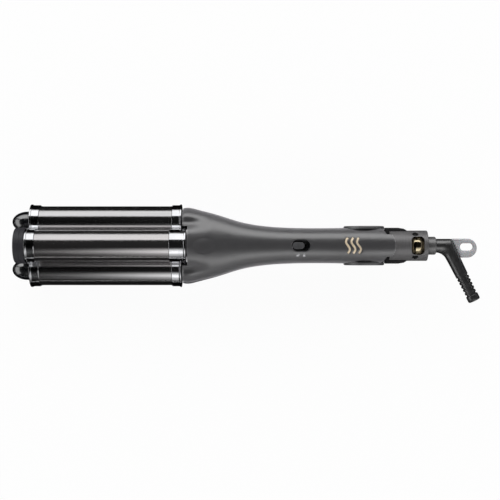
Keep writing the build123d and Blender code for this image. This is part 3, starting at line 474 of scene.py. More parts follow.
def fuse_finish(name):
    finish = Finish(name, (0.70, 0.69, 0.63), 0.7)
    weave = finish.rings(900.0, 3.0)
    return finish.mottle(weave, 0.8, 1.08).grain(weave, 0.3, 0.08)


def board_finish(name):
    """Green mask over a lattice of paler tracks."""
    finish = Finish(name, (0.012, 0.085, 0.030), 0.32)
    tracks = added(finish.tree, "TexBrick", Vector=finish.place, Scale=260.0, Mortar_Size=0.06,
                   Color1=(*finish.base, 1.0), Color2=(0.016, 0.11, 0.04, 1.0),
                   Mortar=(0.03, 0.20, 0.07, 1.0))
    feed(finish.tree, finish.shader, Base_Color=tracks.outputs["Color"])
    return finish.grain(tracks.outputs["Fac"], 0.2, 0.04)


BUILT = {
    "barrel coating": barrel_finish, "warm barrel coating": barrel_finish,
    "polished steel": steel_finish, "disc tip plastic": disc_tip_finish,
    "gunmetal": gunmetal_finish, "spreader aluminium": aluminium_finish,
    "fuse sleeve": fuse_finish, "board mask": board_finish,
}

# What noisy_finish takes. Mottle is (scale, darker, lighter), gloss (scale, spread) and grain
# (scale, strength, depth in mm), each with the noise's detail last where it isn't the usual one.
INNER_PLASTIC = dict(base=(0.045, 0.045, 0.048), roughness=0.5, mottle=(90, 0.9, 1.1),
                     gloss=(220, 0.05), grain=(2000, 0.25, 0.05, 3))
GLOSS_BLACK = dict(roughness=0.24, mottle=(150, 0.85, 1.2), gloss=(400, 0.04),
                   grain=(1200, 0.03, 0.03))
SATIN_BLACK = dict(roughness=0.42, mottle=(120, 0.85, 1.15), gloss=(300, 0.05),
                   grain=(2200, 0.18, 0.05, 3))
NOISY = {
    "soft touch plastic": dict(
        base="soft_touch", roughness=0.35, mottle=(55, 0.93, 1.06, 5), gloss=(160, 0.035, 6),
        grain=(2600, 0.10, 0.04, 2), IOR=2.0, Specular_IOR_Level=1.0, Sheen_Weight=1.0,
        Sheen_Roughness=0.45, Sheen_Tint=(0.98, 0.955, 1.0, 1.0)),
    "inner plastic": INNER_PLASTIC,
    "neck plastic": INNER_PLASTIC,
    "cool tip plastic": dict(
        base="cool_tip", roughness=0.20, mottle=(120, 0.9, 1.08), gloss=(300, 0.05),
        grain=(1800, 0.12, 0.04, 3), IOR=2.4, Specular_IOR_Level=0.95),
    "polished gold": dict(
        base="gold", roughness=0.12, metallic=1.0, mottle=(220, 0.9, 1.06), gloss=(500, 0.03),
        grain=(900, 0.03, 0.03)),
    "gold inlay": dict(
        base=(0.95, 0.78, 0.56), roughness=0.45, metallic=0.5, mottle=(400, 0.88, 1.08),
        gloss=(900, 0.06), grain=(1500, 0.08, 0.03)),
    # Darker copy of the lock's gloss black, painted shade for the recess round the knob.
    "lock gloss": dict(base=(0.008, 0.008, 0.00832), **GLOSS_BLACK),
    "dark steel": dict(base=(0.008, 0.008, 0.00832), **GLOSS_BLACK),
    # Lighter copy of the lock's gloss black, painted light on the knob.
    "knob gloss": dict(base=(0.062, 0.062, 0.06448), **GLOSS_BLACK),
    "hub black": dict(base=(0.013, 0.013, 0.014), **SATIN_BLACK),
    "hinge black": dict(
        base=(0.060, 0.060, 0.063), IOR=2.1, Specular_IOR_Level=0.85, **SATIN_BLACK),
    "boot rubber": dict(
        base="boot", roughness=0.34, mottle=(140, 0.85, 1.15), gloss=(350, 0.06),
        grain=(1600, 0.15, 0.05, 3), IOR=2.1, Specular_IOR_Level=0.95),
    "loop plastic": dict(
        base="loop", roughness=0.42, mottle=(160, 0.93, 1.06), gloss=(400, 0.05),
        grain=(1800, 0.10, 0.04, 3), Subsurface_Weight=0.1, Subsurface_Scale=MM),
    "neck plastic grey": dict(
        base=(0.072, 0.0715, 0.072), roughness=0.36, mottle=(160, 0.9, 1.1), gloss=(400, 0.05),
        grain=(1800, 0.10, 0.04, 3), IOR=2.1, Specular_IOR_Level=0.75),
    "plated steel": dict(
        base=(0.56, 0.56, 0.58), roughness=0.28, metallic=1.0, mottle=(260, 0.85, 1.08),
        gloss=(600, 0.06), grain=(1400, 0.08, 0.04)),
    "spring wire": dict(
        base=(0.40, 0.40, 0.42), roughness=0.32, metallic=1.0, mottle=(500, 0.8, 1.1),
        gloss=(900, 0.07)),
    "ring brass": dict(
        base=(0.70, 0.50, 0.24), roughness=0.25, metallic=1.0, mottle=(300, 0.85, 1.08),
        gloss=(700, 0.06)),
    "bush bronze": dict(
        base=(0.42, 0.28, 0.15), roughness=0.45, metallic=1.0, mottle=(900, 0.8, 1.1),
        grain=(2500, 0.2, 0.05, 2)),
    "heater ceramic": dict(
        base=(0.74, 0.72, 0.66), roughness=0.55, mottle=(400, 0.93, 1.04),
        grain=(1500, 0.15, 0.05)),
    "lead sleeve": dict(
        base=(0.42, 0.05, 0.035), roughness=0.42, mottle=(300, 0.85, 1.1),
        grain=(1200, 0.1, 0.04)),
    "board parts": dict(
        base=(0.03, 0.03, 0.031), roughness=0.45, mottle=(300, 0.8, 1.2),
        grain=(1600, 0.15, 0.04)),
    "smoked window": dict(
        base=(0.05, 0.05, 0.055), roughness=0.06, gloss=(200, 0.03), Transmission_Weight=0.35,
        Coat_Weight=0.6, Coat_Roughness=0.03),
    "button plastic": dict(
        base=(0.20, 0.20, 0.21), roughness=0.34, mottle=(300, 0.9, 1.1), gloss=(500, 0.05),
        grain=(1800, 0.1, 0.04)),
    "foot rubber": dict(
        base=(0.025, 0.025, 0.026), roughness=0.75, mottle=(200, 0.8, 1.2),
        grain=(1500, 0.35, 0.08, 3)),
    "printing": dict(
        base=(0.48, 0.48, 0.50), roughness=0.5, mottle=(900, 0.9, 1.06),
        grain=(2500, 0.1, 0.02)),
}

# The frame nodes that are kept as they are, by the finish that they get.
CARRIED = {
    "neck plastic": ("upper_neck", "lower_neck_left", "lower_neck_right"),
    "heater ceramic": ("upper_heater", "lower_heater_left", "lower_heater_right"),
    "spreader aluminium": ("upper_heat_spreader", "lower_heat_spreader_left",
                           "lower_heat_spreader_right"),
    "plated steel": ("board_screws", "hub_screws", "hinge_pin", "latch_catch", "latch_hook"),
    "spring wire": ("return_spring", "detent_spring"),
    "bush bronze": ("hinge_bushes",),
    "ring brass": ("slip_rings", "slip_contacts"),
    "lead sleeve": ("upper_leads", "supply_leads"),
    "fuse sleeve": ("thermal_fuse",),
    "board mask": ("control_board",),
    "board parts": ("board_parts", "tact_switches"),
    "polished gold": ("swivel_ball",),
    "smoked window": ("display_window",),
}


def made(name):
    """The material of a finish, built on first use."""
    if name not in bpy.data.materials:
        if name in BUILT:
            BUILT[name](name)
        else:
            noisy_finish(name, **NOISY[name])
    return bpy.data.materials[name]


# Pieces --------------------------------------------------------------------------

class WAVER_OT_carried_nodes(Operator):
    """Give the frame's own hidden and inner nodes their finishes"""
    bl_idname = "waver.carried_nodes"
    bl_label = "Inner pieces"

    def execute(self, context):
        for finish, nodes in CARRIED.items():
            for node in nodes:
                obj = frame["nodes"][node]
                obj.data.materials.clear()
                obj.data.materials.append(made(finish))
        return {"FINISHED"}


class WAVER_OT_barrels(Operator):
    """Turn the three coated barrels, with rolled ends"""
    bl_idname = "waver.barrels"
    bl_label = "Barrels"

    wall = 1.4 * MM
    roll = 0.3 * MM

    def execute(self, context):
        roll = self.roll
        for node, finish in (("upper_barrel", "warm barrel coating"),
                             ("lower_barrel_left", "barrel coating"),
                             ("lower_barrel_right", "barrel coating")):
            middle, half, radius = box_of(node)
            bore = radius - self.wall
            ring = half - 2 * roll          # support rings keep the long tube's shading true
            corners = [(-half, bore), (-half, radius - roll), (-half + roll, radius),
                       (-ring, radius), (ring, radius), (half - roll, radius),
                       (half, radius - roll), (half, bore), (-half, bore)]
            obj = ring_walk(node + "_tube", corners, middle, sides=144)
            smooth(obj, 30.0)
            dress_as(node, obj, finish)
        return {"FINISHED"}


class WAVER_OT_caps(Operator):
    """Turn the polished caps and the ribbed rear collar"""
    bl_idname = "waver.caps"
    bl_label = "Caps and collar"

    lip = 1.3 * MM
    lip_step = 0.6 * MM             # how far the body lies below the lip
    shoulder = ((0.15, 0.0), (0.6, 0.0))                # steps at the lip, for edge
    mouth = ((0.9, 0.0), (0.35, 0.0), (0.0, 0.35))      # steps at the barrel's end
    bore = 12.52 * MM
    front_neck, front_seat = 6.02 * MM, 4.6 * MM
    rear_neck, rear_seat = 8.22 * MM, 3.0 * MM          # bore for the neck, depth for the barrel
    rib_start = 1.2 * MM
    rib_pitch = 1.35 * MM
    groove = 0.12                   # mm, deep and wide

    def cap(self, node, forward, ribs=0):
        """One cap: the lip stands at its outer end, and ribs run round the middle of a collar."""
        middle, half, radius = box_of(node)
        body = radius - self.lip_step
        if forward:
            neck, seat = self.front_neck, self.front_seat
        else:
            neck, seat = self.rear_neck, self.rear_seat
        corners = [(0.0, neck), (0.0, radius), (self.lip, radius)]
        corners += edge(self.lip, body, 1, self.shoulder)
        deep = self.groove
        for row in range(ribs):
            corners += edge(self.lip + self.rib_start + row * self.rib_pitch, body, 1,
                            ((0.0, 0.0), (deep, deep), (2 * deep, deep), (3 * deep, 0.0)))
        end = 2 * half
        corners += edge(end, body, -1, self.mouth)
        corners += [(end, self.bore), (end - seat, self.bore), (end - seat, neck), (0.0, neck)]
        corners = [(along - half if forward else half - along, out) for along, out in corners]
        obj = ring_walk(node + "_turned", corners, middle, sides=128)
        round_edges(obj, sizes().metal_round, 2, 55.0)
        smooth(obj, 30.0)
        dress_as(node, obj, "polished steel")

    def execute(self, context):
        for node in ("upper_front_cap", "lower_front_cap_left", "lower_front_cap_right"):
            self.cap(node, True)
        for node in ("lower_rear_cap_left", "lower_rear_cap_right"):
            self.cap(node, False)
        self.cap("upper_rear_collar", False, ribs=2)
        return {"FINISHED"}


class WAVER_OT_cool_tips(Operator):
    """Turn the two bullet-shaped cool tips and the domed disc tip"""
    bl_idname = "waver.cool_tips"
    bl_label = "Cool tips"

    spigot = 6.0 * MM
    bullet_length = 15.3 * MM
    bullet_straight = 3.0 * MM
    # Each side is steps for edge, from the base or the rim, with a fine groove in it.
    bullet_side = ((0.0, 0.3), (0.3, 0.0), (1.1, 0.0), (1.3, 0.25), (1.7, 0.25), (1.9, 0.0))
    disc_length = 9.7 * MM
    disc_side = ((0.0, 0.5), (0.5, 0.0), (3.2, 0.0), (3.4, 0.2), (3.8, 0.2), (4.0, 0.0))
    disc_rim = ((1.2, 0.0), (0.5, 0.3))
    rim_round = 1.0 * MM
    dome = 1.2 * MM

    def bullet(self, node):
        middle, half, radius = box_of(node)
        nose, seat = -half, half
        base = nose + self.bullet_length
        straight = base - self.bullet_straight
        corners = [(seat, 0.0), (seat, self.spigot), (base, self.spigot)]
        corners += edge(base, radius, -1, self.bullet_side) + [(straight, radius)]
        steps = 22
        for step in range(1, steps):
            angle = math.pi / 2 * step / steps
            corners.append((straight - (straight - nose) * math.sin(angle),
                            radius * math.cos(angle)))
        corners.append((nose, 0.0))
        obj = ring_walk(node + "_bullet", corners, middle, sides=112)
        smooth(obj, 40.0)
        dress_as(node, obj, "cool tip plastic")

    def disc(self, node):
        middle, half, radius = box_of(node)
        face, seat = -half, half
        back = face + self.disc_length
        rim = face + self.dome
        crown = radius - self.rim_round
        corners = [(seat, 0.0), (seat, self.spigot), (back, self.spigot)]
        corners += edge(back, radius, -1, self.disc_side) + edge(rim, radius, 1, self.disc_rim)
        corners.append((rim, crown))
        steps = 14
        for step in range(1, steps):
            share = 1 - step / steps
            corners.append((face + self.dome * share * share, crown * share))
        corners.append((face, 0.0))
        obj = ring_walk(node + "_disc", corners, middle, sides=128)
        smooth(obj, 40.0)
        dress_as(node, obj, "disc tip plastic")

    def execute(self, context):
        self.bullet("lower_cool_tip_left")
        self.bullet("lower_cool_tip_right")
        self.disc("upper_cool_tip")
        return {"FINISHED"}


class WAVER_OT_covers(Operator):
    """Shape the soft-touch covers: creases between the flare's lobes and rounded edges"""
    bl_idname = "waver.covers"
    bl_label = "Arm covers"

    rows = 16                       # of planes along a crease
    side_rows = 7                   # each side of a crease's middle
    rows_per_spread = 2.4
    quiet = 6 * MM                  # the skin this near the hinge's height isn't pressed
    blend = 8 * MM                  # height over which a crease comes in

    def cut_rows(self, obj, front):
        """Cut the mesh by rows of planes where the creases need them."""
        size = sizes()
        along = [front + size.crease_length * step / self.rows for step in range(1, self.rows + 1)]
        across = [side * (size.crease_across + size.crease_spread * step / self.rows_per_spread)
                  for side in (-1, 1) for step in range(-self.side_rows, self.side_rows + 1)]
        with editing(obj):
            for normal, spots in (((1, 0, 0), along), ((0, 1, 0), across)):
                for spot in spots:
                    bpy.ops.mesh.select_all(action="SELECT")
                    bpy.ops.mesh.bisect(plane_co=[n * spot for n in normal], plane_no=normal)

    def press(self, obj, front, sign):
        """Press a crease each side of the middle into the skin and its wall."""
        size = sizes()
        for vertex in obj.data.vertices:
            point = vertex.co
            above = abs(point.z - HINGE_Z) - self.quiet
            if above <= 0:
                continue
            away = (abs(point.y) - size.crease_across) / size.crease_spread
            depth = size.crease_depth * math.exp(-away * away / 2)
            depth *= fade(point.x, front, front + size.crease_length)
            point.z -= sign * depth * min(above / self.blend, 1.0)
        obj.data.update()

    def cover(self, node, sign):
        obj = copy_of(node, node + "_moulding")
        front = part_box(node)[0].x
        round_edges(obj, sizes().edge_round, 2, 42.0)
        self.cut_rows(obj, front)
        self.press(obj, front, sign)
        smooth(obj, 30.0)
        dress_as(node, obj, "soft touch plastic")

    def execute(self, context):
        self.cover("upper_cover", 1.0)
        self.cover("lower_cover", -1.0)
        return {"FINISHED"}


class WAVER_OT_inner_faces(Operator):
    """Round the inner plates and the cover screws"""
    bl_idname = "waver.inner_faces"
    bl_label = "Inner faces"

    def execute(self, context):
        softened("upper_inner_plate", "upper_plate_moulding", 0.2 * MM, "inner plastic")
        softened("lower_inner_plate", "lower_plate_moulding", 0.2 * MM, "inner plastic")
        for node in ("upper_cover_screws", "lower_cover_screws"):
            softened(node, node + "_plated", 0.12 * MM, "plated steel")
        return {"FINISHED"}


class WAVER_OT_lock(Operator):
    """Shape the lock slider, its oval recess and the printed padlocks beside it"""
    bl_idname = "waver.lock"
    bl_label = "Jaw lock"

    grip_rows = 5
    grip_pitch = 0.95 * MM
    ridge_width, ridge_length = 0.36 * MM, 3.4 * MM
    ridge_sunk, ridge_rise = 0.3 * MM, 0.12 * MM
    print_y = -7.4 * MM
    print_shift = 2.6 * MM          # of each padlock from the recess's middle
    padlock_width = 1.7 * MM
    padlock_front, padlock_back = 1.1 * MM, 0.15 * MM
    shackle_radius, shackle_line, shackle_stretch = 0.52 * MM, 0.13 * MM, 1.35
    shackle_back = 0.35 * MM
    open_shift = 0.9 * MM

    def padlock(self, name, x, y, z, is_open):
        """Printed padlock: a body and a shackle, which stands aside when open."""
        thick, half = sizes().print_height, self.padlock_width / 2
        body = slab(name, (x - half, y - self.padlock_front, z - thick),
                    (x + half, y + self.padlock_back, z + thick))
        round_edges(body, 0.2 * MM)
        spot = (x + (self.open_shift if is_open else 0.0), y + self.shackle_back, z)
        shackle = flat_ring(self.shackle_radius, self.shackle_line, thick, 32, spot,
                            self.shackle_stretch)
        return joined(name, [body, shackle])

    def knob(self):
        """The slider with its cross ridges."""
        obj = copy_of("lock_knob", "lock_slider_knob")
        low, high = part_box("lock_knob")
        round_edges(obj, 0.25 * MM, 3, 40.0)
        width, length = self.ridge_width / 2, self.ridge_length / 2
        pieces = [obj]
        for row in range(self.grip_rows):
            x = (low.x + high.x) / 2 + (row - self.grip_rows // 2) * self.grip_pitch
            ridge = slab("ridge", (x - width, -length, high.z - self.ridge_sunk),
                         (x + width, length, high.z + self.ridge_rise))
            round_edges(ridge, 0.1 * MM)
            pieces.append(ridge)
        knob = joined("lock_slider_knob", pieces)
        smooth(knob)
        # The knob takes the lighter copy of the lock's gloss black: painted light.
        dress_as("lock_knob", knob, "knob gloss")

    def execute(self, context):
        # The recess takes the darker copy of the lock's gloss black: painted shade.
        softened("lock_bezel", "lock_recess", 0.14 * MM, "lock gloss")
        self.knob()
        middle = box_of("lock_bezel")[0].x
        surface = self.surface_height(middle, self.print_y)
        marks = []
        for name, side, is_open in (("print_unlocked", -1, True), ("print_locked", 1, False)):
            mark = self.padlock(name, middle + side * self.print_shift, self.print_y, surface,
                                is_open)
            self.lay_on_cover(mark)
            marks.append(mark)
        dress(joined("lock_printing", marks), "upper_arm", "lock_gloss_black", "printing")
        return {"FINISHED"}

    def surface_height(self, x, y):
        """Height of the upper cover's outer skin at a place."""
        cover = bpy.data.objects["upper_cover_moulding"]
        hit, point = cover.ray_cast(Vector((x, y, 1.0)), Vector((0, 0, -1)))[:2]
        if not hit:
            raise ValueError("no cover under the printing")
        return point.z

    def lay_on_cover(self, obj):
        """Follow the cover's skin, keeping each vertex's own height over it."""
        middle = sum(v.co.z for v in obj.data.vertices) / len(obj.data.vertices)
        for vertex in obj.data.vertices:
            skin = self.surface_height(vertex.co.x, vertex.co.y)
            vertex.co.z = skin + (vertex.co.z - middle)
        obj.data.update()


class WAVER_OT_emblem(Operator):
    """Round the edges of the three inlaid waves"""
    bl_idname = "waver.emblem"
    bl_label = "Inlay"

    def execute(self, context):
        softened("emblem", "wave_inlay", 0.06 * MM, "gold inlay", 2, 40.0)
        return {"FINISHED"}


class WAVER_OT_hinge(Operator):
    """Turn the round side covers and round the rear hub"""
    bl_idname = "waver.hinge"
    bl_label = "Hinge covers and hub"

    spigot_radius = 1.6 * MM
    spigot_length = 6.2 * MM        # from the outer face
    thickness = 2.2 * MM
    # Steps for edge, from the rim inwards over the ring-shaped groove.
    rim = ((0.8, 0.0), (0.25, 0.25), (0.0, 0.9), (0.0, 2.2), (0.25, 2.45), (0.25, 2.9),
           (0.0, 3.15))

    def disc(self, node, side):
        low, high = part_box(node)
        middle = (low + high) / 2
        radius = (high.z - low.z) / 2
        outer = (high.y if side > 0 else -low.y) - abs(middle.y)
        spigot = outer - self.spigot_length
        inner = outer - self.thickness
        corners = [(spigot, 0.0), (spigot, self.spigot_radius), (inner, self.spigot_radius),
                   (inner, radius)] + edge(outer, radius, -1, self.rim) + [(outer, 0.0)]
        corners = [(side * along, out) for along, out in corners]
        obj = ring_walk(node + "_turned", corners, middle, axis="Y", sides=128)
        smooth(obj, 25.0)
        dress_as(node, obj, "hinge black")

    def execute(self, context):
        self.disc("hinge_disc_left", 1)
        self.disc("hinge_disc_right", -1)
        softened("rear_hub", "hub_moulding", 0.3 * MM, "hub black")
        return {"FINISHED"}


class WAVER_OT_swivel(Operator):
    """Round the swivel collar's edges and its windows, and the neck"""
    bl_idname = "waver.swivel"
    bl_label = "Swivel"

    def execute(self, context):
        softened("swivel_collar", "collar_turned", 0.5 * MM, "gunmetal", 3, 40.0)
        softened("collar_screws", "collar_screw_heads", 0.1 * MM, "dark steel")
        softened("swivel_neck", "neck_moulding", 0.25 * MM, "neck plastic grey")
        return {"FINISHED"}


class WAVER_OT_strain_relief(Operator):
    """Mould the bent, slotted strain relief and its hanging loop"""
    bl_idname = "waver.strain_relief"
    bl_label = "Strain relief"

    bend_x = 65.8 * MM              # where the straight ends' middle lines meet
    tilt = math.radians(63.4)
    reach = 9.1 * MM                # of the bent part each side of bend_x
    length = 48.5 * MM
    root_radius = 5.45 * MM
    tip_radius = 4.5 * MM
    bore = 3.2 * MM
    bore_depth = 30 * MM
    plug = 4.0 * MM                 # length of the end that is inside the neck
    bead_length = 5.2 * MM
    bead_start = ((0.05, 4.45), (0.35, 4.8), (0.9, 4.9))        # mm along, and radius
    bead_end = ((-0.9, 4.9), (-0.3, 4.72), (0.0, 4.3), (0.0, 3.3))
    taper_start = 4.0 * MM
    taper_rows = (12, 16, 20, 24)   # mm
    inner_bend = 9.0 * MM
    outer_bend = 1.6 * MM
    bend_steps = 26
    slots = 6
    slot_pitch = 3.05 * MM
    slot_width = 1.3 * MM
    slot_depth = 0.75 * MM
    slot_floor = 3.9 * MM           # the slots spare what lies inside this radius
    slot_edge = ((-0.16, 0.0), (0.0, 0.25), (0.12, 1.0))        # mm in, and share of depth
    slot_span = (0.30, 0.50)        # where a slot ends, as a sideways share of the radius

    def fibre(self, along, aside):
        """Where a straight fibre of the boot goes once bent, tight outside and wide inside."""
        turn = self.tilt
        ahead = Vector((math.cos(turn), -math.sin(turn)))
        across = Vector((math.sin(turn), math.cos(turn)))
        if along <= -self.reach:
            return Vector((along, aside))
        if along >= self.reach:
            return ahead * along + across * aside
        share = min(max((aside + self.root_radius) / (2 * self.root_radius), 0.0), 1.0)
        bend = self.inner_bend + (self.outer_bend - self.inner_bend) * share
        tangent = bend * math.tan(turn / 2)
        corner = Vector((aside * math.tan(turn / 2), aside))
        start = Vector((-self.reach, aside))
        finish = ahead * self.reach + across * aside
        first = (corner.x - tangent) - start.x
        arc = bend * turn
        last = (finish - corner).length - tangent
        path = (along + self.reach) / (2 * self.reach) * (first + arc + last)
        if path < first:
            return start + Vector((path, 0))
        if path > first + arc:
            return corner + ahead * (tangent + path - first - arc)
        angle = (path - first) / bend
        centre = Vector((corner.x - tangent, aside - bend))
        return centre + Vector((math.sin(angle), math.cos(angle))) * bend

    def outline(self):
        """(distance from the bend, radius, share of the slots' depth) along the boot."""
        start, end = -self.reach, self.length
        bead = end - self.bead_length
        taper = (self.root_radius - self.tip_radius) / (bead - self.taper_start)
        rows = [(start + 2 * self.reach * step / self.bend_steps, self.root_radius, 0.0)
                for step in range(self.bend_steps + 1)]
        rows += [(along * MM, self.root_radius - taper * (along * MM - self.taper_start), 0.0)
                 for along in self.taper_rows]
        first_slot = bead - (self.slots - 1) * self.slot_pitch - self.slot_width
        for row in range(self.slots):
            low = first_slot + row * self.slot_pitch
            high = low + self.slot_width
            radius = self.root_radius - taper * (low - self.taper_start)
            rows += [(low + inward * MM, radius, share) for inward, share in self.slot_edge]
            rows += [(high - inward * MM, radius, share)
                     for inward, share in reversed(self.slot_edge)]
        rows.pop()                  # the bead begins where the last slot ends
        for place_x, profile in ((bead, self.bead_start), (end, self.bead_end)):
            rows += [(place_x + along * MM, radius * MM, 0.0) for along, radius in profile]
        bottom = end - self.bore_depth
        return rows + [(end - 0.3 * MM, self.bore, 0.0), (bottom, self.bore, 0.0),
                       (bottom, 0.0, 0.0)]

    def boot(self):
        rows = self.outline()
        plug = -self.reach - self.plug
        corners = [(plug, 0.0), (plug, self.bore), (-self.reach, self.bore)]
        corners += [(along, radius) for along, radius, share in rows]
        obj = ring_walk("boot_moulding", corners, (0.0, 0.0, 0.0), sides=96)
        slots = [(along, share) for along, radius, share in rows if share > 0]
        for vertex in obj.data.vertices:
            x, y, z = vertex.co
            radius = math.hypot(y, z)
            cut = 0.0
            if radius > self.slot_floor:
                for along, share in slots:
                    if abs(x - along) < SEAM:
                        cut = share
            if cut:
                mask = 1.0 - fade(abs(y) / radius, *self.slot_span)
                shrink = 1.0 - cut * mask * self.slot_depth / radius
                y, z = y * shrink, z * shrink
            bent = self.fibre(x, y)
            vertex.co = (bent.x + self.bend_x, bent.y, z + HINGE_Z)
        obj.data.update()
        outward(obj)
        smooth(obj, 38.0)
        dress_as("strain_relief", obj, "boot rubber")

    def execute(self, context):
        self.boot()
        softened("hanging_loop", "loop_moulding", 1.3 * MM, "loop plastic", 4, 40.0)
        return {"FINISHED"}


class WAVER_OT_buttons(Operator):
    """Round the push buttons and the rest foot, and print the buttons' signs"""
    bl_idname = "waver.buttons"
    bl_label = "Buttons and foot"

    relief = 0.05 * MM
    round_over = 0.15 * MM
    line = 0.22 * MM                # half the width of a sign's bar
    arm = 1.3 * MM                  # half the length of a sign's bar
    ring_radius = 1.2 * MM
    ring_line = 0.2 * MM
    gap_start, gap_half = 0.4 * MM, 0.55 * MM
    stroke_start, stroke_end = 0.2 * MM, 1.55 * MM

    def bar(self, name, x, z, half_x, half_y):
        thick = sizes().print_height
        return slab(name, (x - half_x, -half_y, z - thick), (x + half_x, half_y, z + thick))

    def relieve(self, cap, underside):
        """Lift a button's underside a little, so it stays clear of the board when pressed."""
        for vertex in cap.data.vertices:
            vertex.co.z = max(vertex.co.z, underside + self.relief)
        cap.data.update()

    def sign(self, node):
        x, z = box_of(node)[0].x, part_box(node)[1].z
        if node == "minus_button":
            return self.bar("sign_minus", x, z, self.line, self.arm)
        if node == "plus_button":
            return joined("sign_plus", [self.bar("bar", x, z, self.line, self.arm),
                                        self.bar("bar", x, z, self.arm, self.line)])
        thick, line, half = sizes().print_height, self.ring_line, self.gap_half
        ring = flat_ring(self.ring_radius, line, thick, 48, (x, 0, z))
        gap = slab("gap", (x + self.gap_start, -half, z - MM), (x + 2 * MM, half, z + MM))
        apply_modifier(ring, "BOOLEAN", "cut", operation="DIFFERENCE", object=gap, solver="EXACT")
        bpy.data.objects.remove(gap)
        stroke = slab("stroke", (x + self.stroke_start, -line, z - thick),
                      (x + self.stroke_end, line, z + thick))
        return joined("sign_power", [ring, stroke])

    def execute(self, context):
        for node in ("power_button", "plus_button", "minus_button"):
            cap = softened(node, node + "_cap", self.round_over, "button plastic")
            self.relieve(cap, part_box(node)[0].z)
            dress(self.sign(node), node, "button_grey", "printing")
        softened("rest_foot", "foot_moulding", 0.5 * MM, "foot rubber", 3)
        return {"FINISHED"}


def calculated(tree, operation, *sources):
    """A Math node on sockets or numbers."""
    node = tree.nodes.new("ShaderNodeMath")
    node.operation = operation
    for socket, source in zip(node.inputs, sources):
        if isinstance(source, float):
            socket.default_value = source
        else:
            tree.links.new(source, socket)
    return node.outputs["Value"]


def mixed(tree, share, first, second, output):
    """Two shaders mixed by a share, on the tree's output."""
    mix = tree.nodes.new("ShaderNodeMixShader")
    for socket, source in zip(mix.inputs, (share, first, second)):
        tree.links.new(source, socket)
    feed(tree, tree.nodes[output], Surface=mix.outputs["Shader"])


def greys(stops):
    """(position, tone) stops as (position, colour) stops."""
    return [(position, (tone, tone, tone)) for position, tone in stops]


